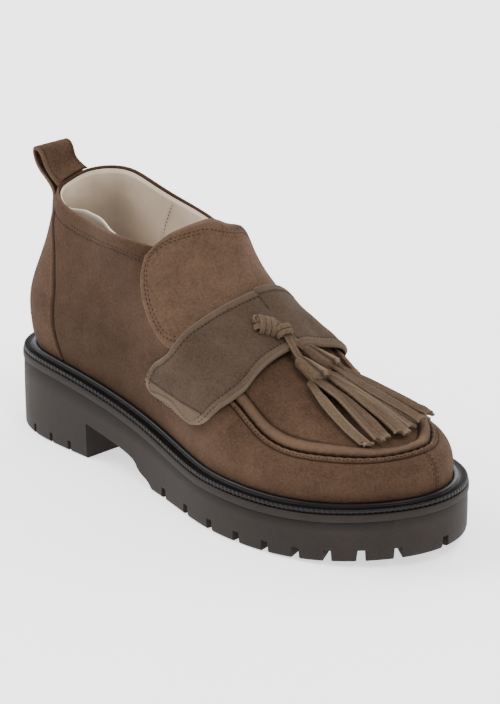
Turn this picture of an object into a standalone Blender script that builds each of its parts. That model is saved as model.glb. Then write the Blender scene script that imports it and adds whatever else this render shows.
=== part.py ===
"""High-top tassel loafer, right shoe: moulded lug sole, welt, insole, upper, tongue, strap, knot, tassels, pull loop.

Metres, +Z up. The toe points to +X, the outer (lateral) side to -Y and the inner (medial) side to +Y.
The origin is the middle of the footprint, on the floor.
"""

import bmesh
import bpy
import numpy as np
from mathutils import Matrix, Vector
from mathutils.bvhtree import BVHTree

MM = 0.001
TURN = 2 * np.pi

# Driving dimensions, as the shoe stands on the floor
SOLE_LENGTH = 278 * MM
BALL_WIDTH = 107 * MM
HEEL_SOLE_HEIGHT = 40.7 * MM
FORE_SOLE_HEIGHT = 23.7 * MM
TOE_SPRING = 6 * MM
WELT_THICKNESS = 3.5 * MM
WELT_REACH = 8 * MM
UPPER_HEIGHT = 86 * MM
WALL = 2.2 * MM
GAP = 0.3 * MM
FOLD_GAP = 0.4 * MM

# Driving dimensions of the overlays, the sole's cuts and the trim
SOLE_BAND = 4 * MM
SOLE_BAND_STEP = 0.5 * MM
SOLE_CHAMFER = 1.5 * MM
WELT_BEAD = 3 * MM
WELT_SHELF = 2.2 * MM
WELT_SETBACK = 0.6 * MM
WELT_ROUNDING = 0.6 * MM
INSOLE_THICKNESS = 3 * MM
BREAST_HEIGHT = 19 * MM
SLOT_DEPTH = 15 * MM
FORE_SLOT_WIDTH = 4 * MM
FORE_SLOT_HEIGHT = 5 * MM
FORE_SLOT_PITCH = 14.6 * MM
HEEL_SLOT_WIDTH = 3 * MM
HEEL_SLOT_HEIGHT = 5 * MM
HEEL_SLOT_PITCH = 13 * MM
RIDGE_HEIGHT = 1.3 * MM
COUNTER_STEP = 0.9 * MM
TONGUE_THICKNESS = 2.4 * MM
STRAP_THICKNESS = 2.2 * MM
STRAP_CORNER = 8 * MM
LOOP_WIDTH = 22 * MM
LOOP_THICKNESS = 1.8 * MM
LOOP_RISE = 15 * MM
LOOP_REACH = 13 * MM
STRIP_WIDTH = 4.6 * MM
STRIP_THICKNESS = 1.5 * MM
TASSEL_HEAD = 9.5 * MM
KNOT_LENGTH = 20 * MM
KNOT_HEIGHT = 4 * MM
HEAD_LIFT = 1.2 * MM
STEM_LENGTH = 7 * MM
STEM_WIDTH = 4.5 * MM
COUNTER_SEAM_WIDTH = 1.2 * MM

# Sections of the shoe, heel to toe: name, share of the sole's length at the sole's edge
STATIONS = [
    ("heel_back", 0.0),
    ("heel_corner", 0.03),
    ("heel_side", 0.12),
    ("quarter", 0.28),
    ("waist", 0.42),
    ("instep", 0.52),
    ("strap", 0.62),
    ("ball", 0.74),
    ("toe_side", 0.86),
    ("toe_corner", 0.95),
    ("toe_tip", 1.0),
]

# Edge of the sole at each section: lateral, medial, as shares of the ball width
SOLE_EDGE = [
    (0.0, 0.0),
    (-0.23, 0.22),
    (-0.345, 0.335),
    (-0.362, 0.335),
    (-0.385, 0.335),
    (-0.44, 0.375),
    (-0.50, 0.435),
    (-0.505, 0.49),
    (-0.42, 0.45),
    (-0.25, 0.315),
    (0.03, 0.03),
]

# Widest ring of the upper's side, above the welt.
# Columns: lateral and medial swell past the seam, as shares of the ball width; height, as a share of the upper's
BULGE = [
    (0.020, 0.020, 0.20),
    (0.022, 0.022, 0.20),
    (0.028, 0.028, 0.20),
    (0.033, 0.023, 0.20),
    (0.033, 0.019, 0.19),
    (0.033, 0.023, 0.18),
    (0.033, 0.028, 0.17),
    (0.033, 0.033, 0.16),
    (0.028, 0.028, 0.15),
    (0.023, 0.023, 0.15),
    (0.023, 0.023, 0.15),
]

# Rings higher up. Columns: along, a share of the sole's length; lateral and medial, shares of the ball width;
# lateral and medial height above the sole's top, shares of the upper's height
SHOULDER = [
    (0.031, 0.0, 0.0, 0.46, 0.46),
    (0.049, -0.178, 0.178, 0.46, 0.46),
    (0.130, -0.276, 0.271, 0.46, 0.46),
    (0.284, -0.315, 0.294, 0.47, 0.47),
    (0.406, -0.340, 0.299, 0.48, 0.48),
    (0.507, -0.364, 0.310, 0.505, 0.505),
    (0.615, -0.364, 0.325, 0.510, 0.510),
    (0.716, -0.358, 0.345, 0.323, 0.323),
    (0.830, -0.310, 0.335, 0.277, 0.277),
    (0.905, -0.170, 0.215, 0.246, 0.246),
    (0.939, 0.037, 0.037, 0.230, 0.230),
]
INSTEP = [
    (0.053, 0.0, 0.0, 0.75, 0.75),
    (0.068, -0.140, 0.145, 0.74, 0.75),
    (0.130, -0.238, 0.243, 0.72, 0.76),
    (0.259, -0.280, 0.276, 0.70, 0.74),
    (0.403, -0.315, 0.290, 0.76, 0.76),
    (0.478, -0.300, 0.270, 0.755, 0.775),
    (0.596, -0.224, 0.224, 0.635, 0.640),
    (0.716, -0.205, 0.205, 0.463, 0.463),
    (0.813, -0.180, 0.190, 0.370, 0.370),
    (0.885, -0.084, 0.121, 0.277, 0.277),
    (0.921, 0.037, 0.037, 0.236, 0.236),
]
CREST = [
    (0.063, 0.01, 0.01, 1.0, 1.0),
    (0.079, -0.100, 0.120, 0.975, 1.027),
    (0.137, -0.190, 0.224, 0.934, 1.044),
    (0.252, -0.255, 0.262, 0.950, 1.019),
    (0.403, -0.262, 0.252, 0.985, 0.985),
    (0.500, 0.047, 0.047, 0.890, 0.890),
    (0.590, 0.037, 0.037, 0.685, 0.685),
    (0.716, 0.028, 0.028, 0.503, 0.503),
    (0.799, 0.019, 0.019, 0.399, 0.399),
    (0.874, 0.028, 0.028, 0.288, 0.288),
    (0.906, 0.037, 0.037, 0.230, 0.230),
]
# Rings of the tongue's form where they differ from the upper's: section, then the same columns
TONGUE_INSTEP = [
    (3, 0.300, -0.290, 0.270, 1.100, 1.100),
    (4, 0.406, -0.296, 0.272, 0.985, 0.970),
]
TONGUE_CREST = [
    (3, 0.465, 0.047, 0.047, 1.330, 1.330),
    (4, 0.462, 0.037, 0.037, 1.145, 1.145),
]
# Shares of the sole's length at which the top is still open about the leg, and from which it is closed
UPPER_OPEN = (0.40, 0.52)
TONGUE_OPEN = (0.30, 0.38)
# Shares of the sole's length between which its top slopes down, and from which the toe springs up
SLOPE = (0.11, 0.63)
SPRING_FROM = 0.72
# Hollow of the sole between heel and forefoot: share of the sole's length, share of the breast's height
ARCH = [
    (0.259, 0.0),
    (0.259, 1.0),
    (0.35, 0.76),
    (0.40, 0.62),
    (0.412, 0.34),
    (0.455, 0.24),
    (0.467, 0.0),
]
# Seam of the heel counter: level up the upper, share of the sole's length
COUNTER = [
    (0.0, 0.160),
    (0.15, 0.140),
    (0.45, 0.115),
    (0.60, 0.105),
    (0.72, 0.080),
    (1.0, 0.060),
]
COUNTER_TOP = 0.70
COUNTER_FADE = (0.05, 0.11)
# Raised seam of the moccasin toe: where it starts under the strap, and the levels of its foot and top
RIDGE_FROM = 0.665
RIDGE_LEVELS = (0.412, 0.425, 0.462, 0.475)
# Side edge of the tongue, from the collar to its end under the strap: share of the sole's length, level
TONGUE_EDGE = [
    (0.405, 0.77),
    (0.43, 0.70),
    (0.46, 0.65),
    (0.49, 0.61),
    (0.52, 0.57),
    (0.58, 0.56),
    (0.645, 0.55),
]
# Edges of the strap, from its middle down to its ends. Columns: level; shares of the sole's length
# between which it lies on the lateral side and on the medial side
STRAP_EDGE = [
    (1.0, 0.550, 0.670, 0.550, 0.670),
    (0.75, 0.556, 0.670, 0.552, 0.660),
    (0.55, 0.538, 0.672, 0.540, 0.655),
    (0.42, 0.488, 0.658, 0.505, 0.645),
    (0.32, 0.450, 0.632, 0.470, 0.625),
    (0.22, 0.430, 0.600, 0.450, 0.600),
]
STRAP_CORNER_LEVEL = 0.29
# Levels between which the strap climbs onto the tongue
STRAP_CLIMB = (0.42, 0.50)
# Tassels. Columns of the heads and of each strip's tip: along, a share of the sole's length; across, of the ball width
TASSELS = {
    "tassel_lateral": [
        (0.694, -0.040),
        (0.889, -0.135),
        (0.892, -0.085),
        (0.886, -0.033),
        (0.884, 0.019),
        (0.894, 0.075),
    ],
    "tassel_medial": [
        (0.698, 0.070),
        (0.892, 0.140),
        (0.888, 0.210),
        (0.878, 0.275),
        (0.866, 0.305),
        (0.852, 0.335),
    ],
}
# Middle of the knot, in the same shares
KNOT_PLACE = (0.604, -0.030)
# Pull loop above the collar, from its outer run over the fold. Columns: backward, a share of the loop's reach;
# upward, a share of its rise
LOOP_BOW = [
    (0.80, 0.38),
    (1.02, 0.80),
    (0.98, 1.0),
    (0.80, 1.0),
    (0.62, 0.66),
]
# Levels of the upper down the loop's outer run
LOOP_LEVELS = (0.82, 0.86, 0.90, 0.95)

# Fineness of the lofts
SOLE_STEPS = 16
UPPER_STEPS = 28
COUNTER_COLUMN = 5
COUNTER_SPREAD = 4
UPPER_LEVELS = (0, 0.05, 0.11, 0.18, 0.26, 0.34, *RIDGE_LEVELS, 0.54, 0.62, 0.70, 0.72, 0.79, 0.86, 0.93, 1.0)
TONGUE_COLUMNS = 10
TONGUE_ROWS = (0.645, 0.62, 0.60, 0.58, 0.56, 0.54, 0.515, 0.49, 0.465, 0.44, 0.42, 0.405)
STRAP_COLUMNS = 7
STRAP_LEVELS = (0.22, 0.225, 0.24, 0.27, 0.32, 0.37, 0.42, 0.46, 0.50, *np.linspace(0.55, 1, TONGUE_COLUMNS))
LOOP_ROWS = 18
LOOP_COLUMNS = 6
STRIP_ROWS = 7


# Levels of the rings: seam, bulge, shoulder, instep, crest and one beyond the crest
LEVELS = np.array([0.0, 0.15, 0.45, 0.75, 1.0, 1.25])

# Looks: base colour, roughness
SUEDE = ((0.15, 0.09, 0.06), 0.95)
NUBUCK = ((0.16, 0.115, 0.085), 0.85)
LINING = ((0.45, 0.38, 0.31), 0.8)
BLACK_RUBBER = ((0.02, 0.016, 0.014), 0.4)
GREY_RUBBER = ((0.045, 0.038, 0.034), 0.75)


def angle_of(along):
    """Turn about the shoe at which the sole's edge has come this far along: 0 at the heel, half a turn at the toe."""
    return np.arccos(1 - 2 * np.asarray(along, float))


def along_of(turn):
    return (1 - np.cos(turn)) / 2


def second_slopes(knots, values, period):
    """Second derivatives at the knots of a cubic spline: closed with a period, else natural at both ends."""
    count = len(knots)
    matrix = np.zeros((count, count))
    right = np.zeros((count,) + values.shape[1:])
    for i in range(count):
        before, after = (i - 1) % count, (i + 1) % count
        if period is None and i in (0, count - 1):
            matrix[i, i] = 1
            continue
        h0, h1 = knots[i] - knots[before], knots[after] - knots[i]
        if period is not None:
            h0, h1 = h0 % period, h1 % period
        matrix[i, before] += h0 / 6
        matrix[i, i] += (h0 + h1) / 3
        matrix[i, after] += h1 / 6
        right[i] = (values[after] - values[i]) / h1 - (values[i] - values[before]) / h0
    flat = right.reshape(count, -1)
    return np.linalg.solve(matrix, flat).reshape(right.shape)


def spline(knots, values, at, period=None):
    """Cubic spline through values at knots, read at every entry of at."""
    knots, values, at = np.asarray(knots, float), np.asarray(values, float), np.asarray(at, float)
    curve = second_slopes(knots, values, period)
    if period is not None:
        at = knots[0] + (at - knots[0]) % period
        knots = np.append(knots, knots[0] + period)
        values, curve = np.concatenate([values, values[:1]]), np.concatenate([curve, curve[:1]])
    cell = np.clip(np.searchsorted(knots, at, side="right") - 1, 0, len(knots) - 2)
    h = knots[cell + 1] - knots[cell]
    b = (at - knots[cell]) / h
    spread = (...,) + (None,) * (values.ndim - 1)
    a, b, h = (1 - b)[spread], b[spread], h[spread]
    bend = ((a**3 - a) * curve[cell] + (b**3 - b) * curve[cell + 1]) * h**2 / 6
    return a * values[cell] + b * values[cell + 1] + bend


def ease(low, high, at):
    """0 up to low, 1 from high, and a smooth rise between them."""
    t = np.clip((np.asarray(at, float) - low) / (high - low), 0, 1)
    return t * t * (3 - 2 * t)


SHARES = np.array([share for _, share in STATIONS])
HALF = angle_of(SHARES)
KNOTS = np.concatenate([HALF, TURN - HALF[-2:0:-1]])


def around(lateral, medial):
    """One value for each knot round the shoe, from the values of its two sides."""
    lateral, medial = np.asarray(lateral, float), np.asarray(medial, float)
    return np.concatenate([lateral, medial[-2:0:-1]])


def floor_lift(x):
    """Height of the tread above the floor: the toe springs up."""
    share = np.asarray(x, float) / SOLE_LENGTH
    return TOE_SPRING * np.clip((share - SPRING_FROM) / (1 - SPRING_FROM), 0, 1) ** 2


def sole_top(x):
    """Height of the sole's upper face at this distance from the back of the heel."""
    share = np.asarray(x, float) / SOLE_LENGTH
    return HEEL_SOLE_HEIGHT + (FORE_SOLE_HEIGHT - HEEL_SOLE_HEIGHT) * ease(*SLOPE, share) + floor_lift(x)


def sole_edge(turn, inset=0.0):
    """Plan of the sole's edge, or of the line this far inside it."""
    table = np.array(SOLE_EDGE)
    across = around(table[:, 0], table[:, 1]) * BALL_WIDTH

    def point(at):
        return np.stack([along_of(at) * SOLE_LENGTH, spline(KNOTS, across, at, TURN)], -1)

    step = 1e-3
    edge = point(turn)
    run = point(turn + step) - point(turn - step)
    run /= np.linalg.norm(run, axis=-1, keepdims=True)
    outward = np.stack([run[..., 1], -run[..., 0]], -1)
    return edge - inset * outward, outward


def ring_points(table, turn):
    """A ring of the upper, read round the shoe."""
    along, lateral, medial, lateral_height, medial_height = np.array(table).T
    base = sole_top(SHARES * SOLE_LENGTH)
    level = around(base + lateral_height * UPPER_HEIGHT, base + medial_height * UPPER_HEIGHT)
    x = spline(KNOTS, around(along, along) * SOLE_LENGTH, turn, TURN)
    y = spline(KNOTS, around(lateral, medial) * BALL_WIDTH, turn, TURN)
    z = spline(KNOTS, level, turn, TURN)
    return np.stack([x, y, z], -1)


def crest_points(turn, table, closed_from):
    """The ring along the top: open about the leg, then one line down the middle of the instep to the toe."""
    points = ring_points(table, turn)
    lateral, medial = np.array(table).T[1:3]
    share = along_of(turn)
    middle = np.interp(share, SHARES, (lateral + medial) / 2) * BALL_WIDTH
    side = np.where(np.sin(turn) >= 0, -1, 1)
    half = np.maximum(side * (points[..., 1] - middle), 0)
    points[..., 1] = np.where(share >= closed_from, middle, middle + side * half)
    return points


def changed(table, rows):
    """The table with some of its sections replaced."""
    table = list(table)
    for row in rows:
        table[row[0]] = row[1:]
    return table


UPPER_RINGS = (INSTEP, CREST, *UPPER_OPEN)
TONGUE_RINGS = (changed(INSTEP, TONGUE_INSTEP), changed(CREST, TONGUE_CREST), *TONGUE_OPEN)


def form(turn, level, rings=UPPER_RINGS):
    """The upper's outer form over the last: turn goes round the shoe, level from the sole's seam (0) to the top (1)."""
    instep_table, crest_table, open_up_to, closed_from = rings
    turn, level = np.broadcast_arrays(np.asarray(turn, float), np.asarray(level, float))
    foot, outward = sole_edge(turn, WELT_REACH)
    seam = np.concatenate([foot, (sole_top(foot[..., 0]) + GAP)[..., None]], -1)
    swell_lateral, swell_medial, height = np.array(BULGE).T
    swell = spline(KNOTS, around(swell_lateral, swell_medial) * BALL_WIDTH, turn, TURN)
    rise = spline(KNOTS, around(height, height) * UPPER_HEIGHT, turn, TURN)
    bulge = np.concatenate([foot + outward * swell[..., None], seam[..., 2:] + rise[..., None]], -1)
    shoulder, instep = ring_points(SHOULDER, turn), ring_points(instep_table, turn)
    crest = crest_points(turn, crest_table, closed_from)
    shut = ease(open_up_to, closed_from, along_of(turn))[..., None]
    beyond = (1 - shut) * (2 * crest - instep) + shut * ring_points(instep_table, TURN - turn)
    knots = np.stack([seam, bulge, shoulder, instep, crest, beyond])
    curve = second_slopes(LEVELS, knots, None)
    cell = np.clip(np.searchsorted(LEVELS, level, side="right") - 1, 0, len(LEVELS) - 2)
    h = (LEVELS[cell + 1] - LEVELS[cell])[..., None]
    b = (level - LEVELS[cell])[..., None] / h
    a = 1 - b

    def pick(values, index):
        return np.take_along_axis(values, index[None, ..., None], 0)[0]

    bend = ((a**3 - a) * pick(curve, cell) + (b**3 - b) * pick(curve, cell + 1)) * h**2 / 6
    return a * pick(knots, cell) + b * pick(knots, cell + 1) + bend


def form_normal(turn, level):
    step = 2e-3
    round_shoe = form(turn + step, level) - form(turn - step, level)
    upward = form(turn, np.asarray(level) + step) - form(turn, np.asarray(level) - step)
    normal = np.cross(round_shoe, upward)
    return normal / np.linalg.norm(normal, axis=-1, keepdims=True)


def off_form(turn, level, distance):
    """A point this far outside the upper's form; negative is inside."""
    return form(turn, level) + form_normal(turn, level) * np.asarray(distance)[..., None]


def footprint_centre():
    plan, _ = sole_edge(np.linspace(0, TURN, 721))
    return (plan.min(0) + plan.max(0)) / 2


PLACE = (*(-footprint_centre()), 0.0)


def lay_plate(points, lift, thickness):
    """Lower and upper faces of a sheet that lies this far off a grid of points on the upper's form."""
    across = np.gradient(points, axis=1)
    along = np.gradient(points, axis=0)
    normal = np.cross(across, along)
    normal /= np.linalg.norm(normal, axis=-1, keepdims=True)
    lift = np.asarray(lift)[..., None]
    return points + normal * lift, points + normal * (lift + thickness)


def sheet_mesh(name, under, over):
    """Closed mesh between two grids of the same size."""
    rows, columns = under.shape[:2]
    mesh = bmesh.new()
    low = [[mesh.verts.new(point) for point in row] for row in under]
    high = [[mesh.verts.new(point) for point in row] for row in over]
    for i in range(rows - 1):
        for j in range(columns - 1):
            mesh.faces.new((high[i][j], high[i][j + 1], high[i + 1][j + 1], high[i + 1][j]))
            mesh.faces.new((low[i][j], low[i + 1][j], low[i + 1][j + 1], low[i][j + 1]))
    border = [(i, 0) for i in range(rows)] + [(rows - 1, j) for j in range(1, columns)]
    border += [(i, columns - 1) for i in range(rows - 2, -1, -1)] + [(0, j) for j in range(columns - 2, 0, -1)]
    for (i, j), (k, l) in zip(border, border[1:] + border[:1]):
        mesh.faces.new((low[i][j], high[i][j], high[k][l], low[k][l]))
    return finish_mesh(name, mesh)


def finish_mesh(name, mesh):
    bmesh.ops.remove_doubles(mesh, verts=mesh.verts, dist=1e-6)
    bmesh.ops.recalc_face_normals(mesh, faces=mesh.faces)
    bmesh.ops.triangulate(mesh, faces=mesh.faces, quad_method="SHORT_EDGE")
    data = bpy.data.meshes.new(name)
    mesh.to_mesh(data)
    mesh.free()
    data.shade_smooth()
    data.set_sharp_from_angle(angle=0.7)
    return data


def ring_mesh(name, rings):
    """Closed loft through rings that go round the shoe, shut below and above from side to side."""
    count = rings.shape[1]
    half = count // 2
    mesh = bmesh.new()
    verts = [[mesh.verts.new(point) for point in ring] for ring in rings]
    for lower, upper in zip(verts, verts[1:]):
        for j in range(count):
            k = (j + 1) % count
            mesh.faces.new((lower[j], lower[k], upper[k], upper[j]))
    for ring, step in ((verts[0], -1), (verts[-1], 1)):
        for j in range(half):
            corners = [ring[j], ring[j + 1], ring[-j - 1], ring[-j % count]]
            corners = [corner for i, corner in enumerate(corners) if corner not in corners[:i]]
            mesh.faces.new(corners[::step])
    return finish_mesh(name, mesh)


def add_object(name, data, parts, look):
    """Object at the shoe's place, with its own plain material: base colour, roughness."""
    colour, roughness = look
    material = bpy.data.materials.new(name)
    material.use_nodes = True
    shader = material.node_tree.nodes["Principled BSDF"]
    shader.inputs["Base Color"].default_value = (*colour, 1)
    shader.inputs["Roughness"].default_value = roughness
    shader.inputs["Metallic"].default_value = 0
    data.materials.append(material)
    piece = bpy.data.objects.new(name, data)
    piece.location = PLACE
    parts.objects.link(piece)
    return piece


def add_cutter(name, data, cutters):
    cutter = bpy.data.objects.new(name, data)
    cutter.location = PLACE
    cutter.hide_render = True
    cutter.display_type = "WIRE"
    cutters.objects.link(cutter)
    return cutter


def add_boolean(piece, cutter, operation):
    modifier = piece.modifiers.new(cutter.name, "BOOLEAN")
    modifier.operation = operation
    modifier.solver = "EXACT"
    modifier.use_self = operation == "UNION"
    modifier.object = cutter


def edge_ring(turn, inset, height):
    plan, _ = sole_edge(turn, inset)
    return np.concatenate([plan, np.asarray(height(plan[:, 0]))[:, None]], -1)


def make_outsole(parts, cutters):
    turn = np.linspace(0, TURN, 4 * SOLE_STEPS, endpoint=False)
    band = SOLE_BAND_STEP
    rings = np.stack([
        edge_ring(turn, SOLE_CHAMFER + band, floor_lift),
        edge_ring(turn, band, lambda x: floor_lift(x) + SOLE_CHAMFER),
        edge_ring(turn, band, lambda x: sole_top(x) - SOLE_BAND),
        edge_ring(turn, 0, lambda x: sole_top(x) - SOLE_BAND + band),
        edge_ring(turn, 0, lambda x: sole_top(x) - band),
        edge_ring(turn, band, sole_top),
    ])
    outsole = add_object("outsole", ring_mesh("outsole", rings), parts, GREY_RUBBER)
    add_boolean(outsole, make_arch_cutter(cutters), "DIFFERENCE")
    add_boolean(outsole, make_slot_cutter(cutters), "DIFFERENCE")
    return outsole


def make_arch_cutter(cutters):
    """Prism from side to side, up from below the floor."""
    mesh = bmesh.new()
    reach = BALL_WIDTH
    profile = [(share * SOLE_LENGTH, height * BREAST_HEIGHT) for share, height in ARCH]
    profile = [(profile[0][0], -reach)] + profile[1:-1] + [(profile[-1][0], 0), (profile[-1][0], -reach)]
    near = [mesh.verts.new((x, -reach, z)) for x, z in profile]
    far = [mesh.verts.new((x, reach, z)) for x, z in profile]
    mesh.faces.new(near)
    mesh.faces.new(far[::-1])
    for i in range(len(near)):
        j = (i + 1) % len(near)
        mesh.faces.new((near[i], far[i], far[j], near[j]))
    return add_cutter("arch_cutter", finish_mesh("arch_cutter", mesh), cutters)


def slot_turns(first, last, pitch):
    """Turns at equal steps along the sole's edge between two turns, about one pitch apart."""
    turn = np.linspace(first, last, 400)
    plan, _ = sole_edge(turn)
    run = np.concatenate([[0], np.cumsum(np.linalg.norm(np.diff(plan, axis=0), axis=1))])
    count = int(round(run[-1] / pitch))
    return np.interp(run[-1] * (np.arange(count) + 0.5) / count, run, turn)


def make_slot_cutter(cutters):
    """Slots between the lugs, open at the sole's edge and at the floor."""
    mesh = bmesh.new()
    fore = angle_of(ARCH[-1][0] + 0.01)
    heel = angle_of(ARCH[0][0] - 0.01)
    rows = (
        (slot_turns(fore, TURN - fore, FORE_SLOT_PITCH), FORE_SLOT_WIDTH, FORE_SLOT_HEIGHT),
        (slot_turns(-heel, heel, HEEL_SLOT_PITCH), HEEL_SLOT_WIDTH, HEEL_SLOT_HEIGHT),
    )
    for turns, width, height in rows:
        plan, outward = sole_edge(turns)
        for (x, y), (u, v) in zip(plan, outward):
            top = floor_lift(x) + height
            box = bmesh.ops.create_cube(mesh, size=1)["verts"]
            for vert in box:
                inward = (0.5 - vert.co.x) * SLOT_DEPTH * 1.5 - SLOT_DEPTH / 2
                side = vert.co.y * width
                level = top if vert.co.z > 0 else -height
                vert.co = (x - u * inward - v * side, y - v * inward + u * side, level)
    return add_cutter("slot_cutter", finish_mesh("slot_cutter", mesh), cutters)


def level_at_height(turn, rise):
    """Level of the upper's form that lies this far above its seam."""
    levels = np.linspace(0, 0.3, 60)
    heights = form(turn[:, None], levels[None, :])[..., 2]
    return np.array([np.interp(row[0] + rise, row, levels) for row in heights])


def make_welt(parts):
    """Rand bead against the upper and stitched shelf, one strip all round."""
    turn = np.linspace(0, TURN, 4 * SOLE_STEPS, endpoint=False)
    low = off_form(turn, 0 * turn, GAP)
    middle = off_form(turn, level_at_height(turn, WELT_THICKNESS / 2), GAP)
    high = off_form(turn, level_at_height(turn, WELT_THICKNESS), GAP)
    low[:, 2] = sole_top(low[:, 0]) + GAP

    def ring(inset, rise):
        return edge_ring(turn, inset, lambda x: sole_top(x) + GAP + rise)

    bead = WELT_REACH - WELT_BEAD
    rings = [
        low,
        ring(WELT_SETBACK, 0),
        ring(WELT_SETBACK, WELT_SHELF),
        ring(bead - WELT_ROUNDING, WELT_SHELF),
        ring(bead, WELT_THICKNESS - WELT_ROUNDING),
        ring(bead + 2 * WELT_ROUNDING, WELT_THICKNESS),
        high,
        middle,
    ]
    count = len(turn)
    mesh = bmesh.new()
    verts = [[mesh.verts.new(point) for point in points] for points in rings]
    for lower, upper in zip(verts, verts[1:] + verts[:1]):
        for j in range(count):
            k = (j + 1) % count
            mesh.faces.new((lower[j], lower[k], upper[k], upper[j]))
    return add_object("welt", finish_mesh("welt", mesh), parts, BLACK_RUBBER)


def make_insole(parts):
    turn = np.linspace(0, TURN, 2 * SOLE_STEPS, endpoint=False)
    inset = WELT_REACH + WALL + 2 * GAP
    rings = np.stack([
        edge_ring(turn, inset, lambda x: sole_top(x) + GAP),
        edge_ring(turn, inset, lambda x: sole_top(x) + GAP + INSOLE_THICKNESS),
    ])
    return add_object("insole", ring_mesh("insole", rings), parts, LINING)


def upper_turns(level):
    """Columns of the upper at one level, from heel to toe, with one on each side of the counter's seam."""
    steps = np.linspace(0, np.pi, UPPER_STEPS + 1)
    before, after = steps[COUNTER_COLUMN], steps[COUNTER_COLUMN + 1]
    seam = angle_of(np.interp(level, *np.array(COUNTER).T))
    beside = COUNTER_SEAM_WIDTH / SOLE_LENGTH / np.sin(seam)
    release = steps[COUNTER_COLUMN + COUNTER_SPREAD]
    return np.interp(steps, [0, before, after, release, np.pi], [0, seam - beside, seam + beside, release, np.pi])


def upper_relief(turn, level, column):
    """Steps in the upper's wall: the heel counter and the raised seam of the moccasin toe."""
    counter = np.where(column <= COUNTER_COLUMN, 1 - ease(COUNTER_TOP, COUNTER_TOP + 0.02, level), 0)
    counter = counter * ease(*COUNTER_FADE, level)
    ridge = np.interp(level, RIDGE_LEVELS, [0, 1, 1, 0]) * ease(RIDGE_FROM, RIDGE_FROM + 0.03, along_of(turn))
    return counter * COUNTER_STEP + ridge * RIDGE_HEIGHT


def make_upper(parts):
    """Hollow shell: outer face on the form, inner face one wall inside, open at the collar and below."""
    levels = np.array(UPPER_LEVELS)
    half = [upper_turns(level) for level in levels]
    column = np.arange(UPPER_STEPS + 1)
    column = np.concatenate([column, column[-2:0:-1]])
    turn = np.array([np.concatenate([row, TURN - row[-2:0:-1]]) for row in half])
    level = np.broadcast_to(levels[:, None], turn.shape)
    outer = off_form(turn, level, upper_relief(turn, level, column[None, :]))
    inner = off_form(turn, level, -WALL * np.ones(turn.shape))
    inner[0, :, 2] = outer[0, :, 2]
    count = turn.shape[1]
    shut = along_of(turn[-1]) >= UPPER_OPEN[1]
    mesh = bmesh.new()
    sides = []
    for face in (outer, inner):
        verts = [[mesh.verts.new(point) for point in row] for row in face]
        for j in range(count // 2 + 1, count):
            if shut[j]:
                verts[-1][j] = verts[-1][count - j]
        sides.append(verts)

    def add(*corners):
        corners = [corner for i, corner in enumerate(corners) if corner not in corners[:i]]
        if len(corners) > 2:
            mesh.faces.new(corners)

    over, under = sides
    for j in range(count):
        k = (j + 1) % count
        for i in range(len(levels) - 1):
            add(over[i][j], over[i][k], over[i + 1][k], over[i + 1][j])
            add(under[i][j], under[i + 1][j], under[i + 1][k], under[i][k])
        add(over[0][k], over[0][j], under[0][j], under[0][k])
        if not (shut[j] and shut[k]):
            add(over[-1][j], over[-1][k], under[-1][k], under[-1][j])
    loose = [vert for vert in mesh.verts if not vert.link_faces]
    bmesh.ops.delete(mesh, geom=loose, context="VERTS")
    return add_object("upper", finish_mesh("upper", mesh), parts, SUEDE)


def halved(grid, axis):
    """The grid with a point added halfway between each two along one axis."""
    grid = np.moveaxis(grid, axis, 0)
    fine = np.empty((2 * len(grid) - 1,) + grid.shape[1:])
    fine[::2] = grid
    fine[1::2] = (grid[:-1] + grid[1:]) / 2
    return np.moveaxis(fine, 0, axis)


def keep_clear(points, tree, gap):
    """Lift a grid off a surface until its points, and those halfway between them, have the gap."""
    for _ in range(3):
        fine = halved(halved(points, 0), 1)
        short = np.zeros(fine.shape[:2])
        for index in np.ndindex(short.shape):
            spot, normal, _, distance = tree.find_nearest(Vector(fine[index]))
            away = (Vector(fine[index]) - spot).dot(normal)
            if distance < 10 * gap:
                short[index] = max(0, gap - away)
        short = np.pad(short, 1)
        rows, columns = fine.shape[:2]
        need = np.max([short[i:i + rows, j:j + columns] for i in range(3) for j in range(3)], axis=0)
        points, _ = lay_plate(points, need[::2, ::2], 0)
    return points


def surface_tree(piece):
    """Nearest-point tree of a finished piece's faces."""
    data = piece.data
    return BVHTree.FromPolygons([vert.co for vert in data.vertices], [face.vertices for face in data.polygons])


def make_tongue(parts, upper_tree):
    mix = np.linspace(0, 1, TONGUE_COLUMNS)
    rows = []
    for share in TONGUE_ROWS:
        edge = np.interp(share, *np.array(TONGUE_EDGE).T)
        level = edge * (1 - mix) + mix
        turn = angle_of(share)
        lateral = form(turn, level, TONGUE_RINGS)
        medial = form(TURN - turn, level, TONGUE_RINGS)
        rows.append(np.concatenate([lateral, medial[-2::-1]]))
    points = keep_clear(np.array(rows), upper_tree, FOLD_GAP)
    under, over = lay_plate(points, np.zeros(points.shape[:2]), TONGUE_THICKNESS)
    return add_object("tongue", sheet_mesh("tongue", under, over), parts, SUEDE)


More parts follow.
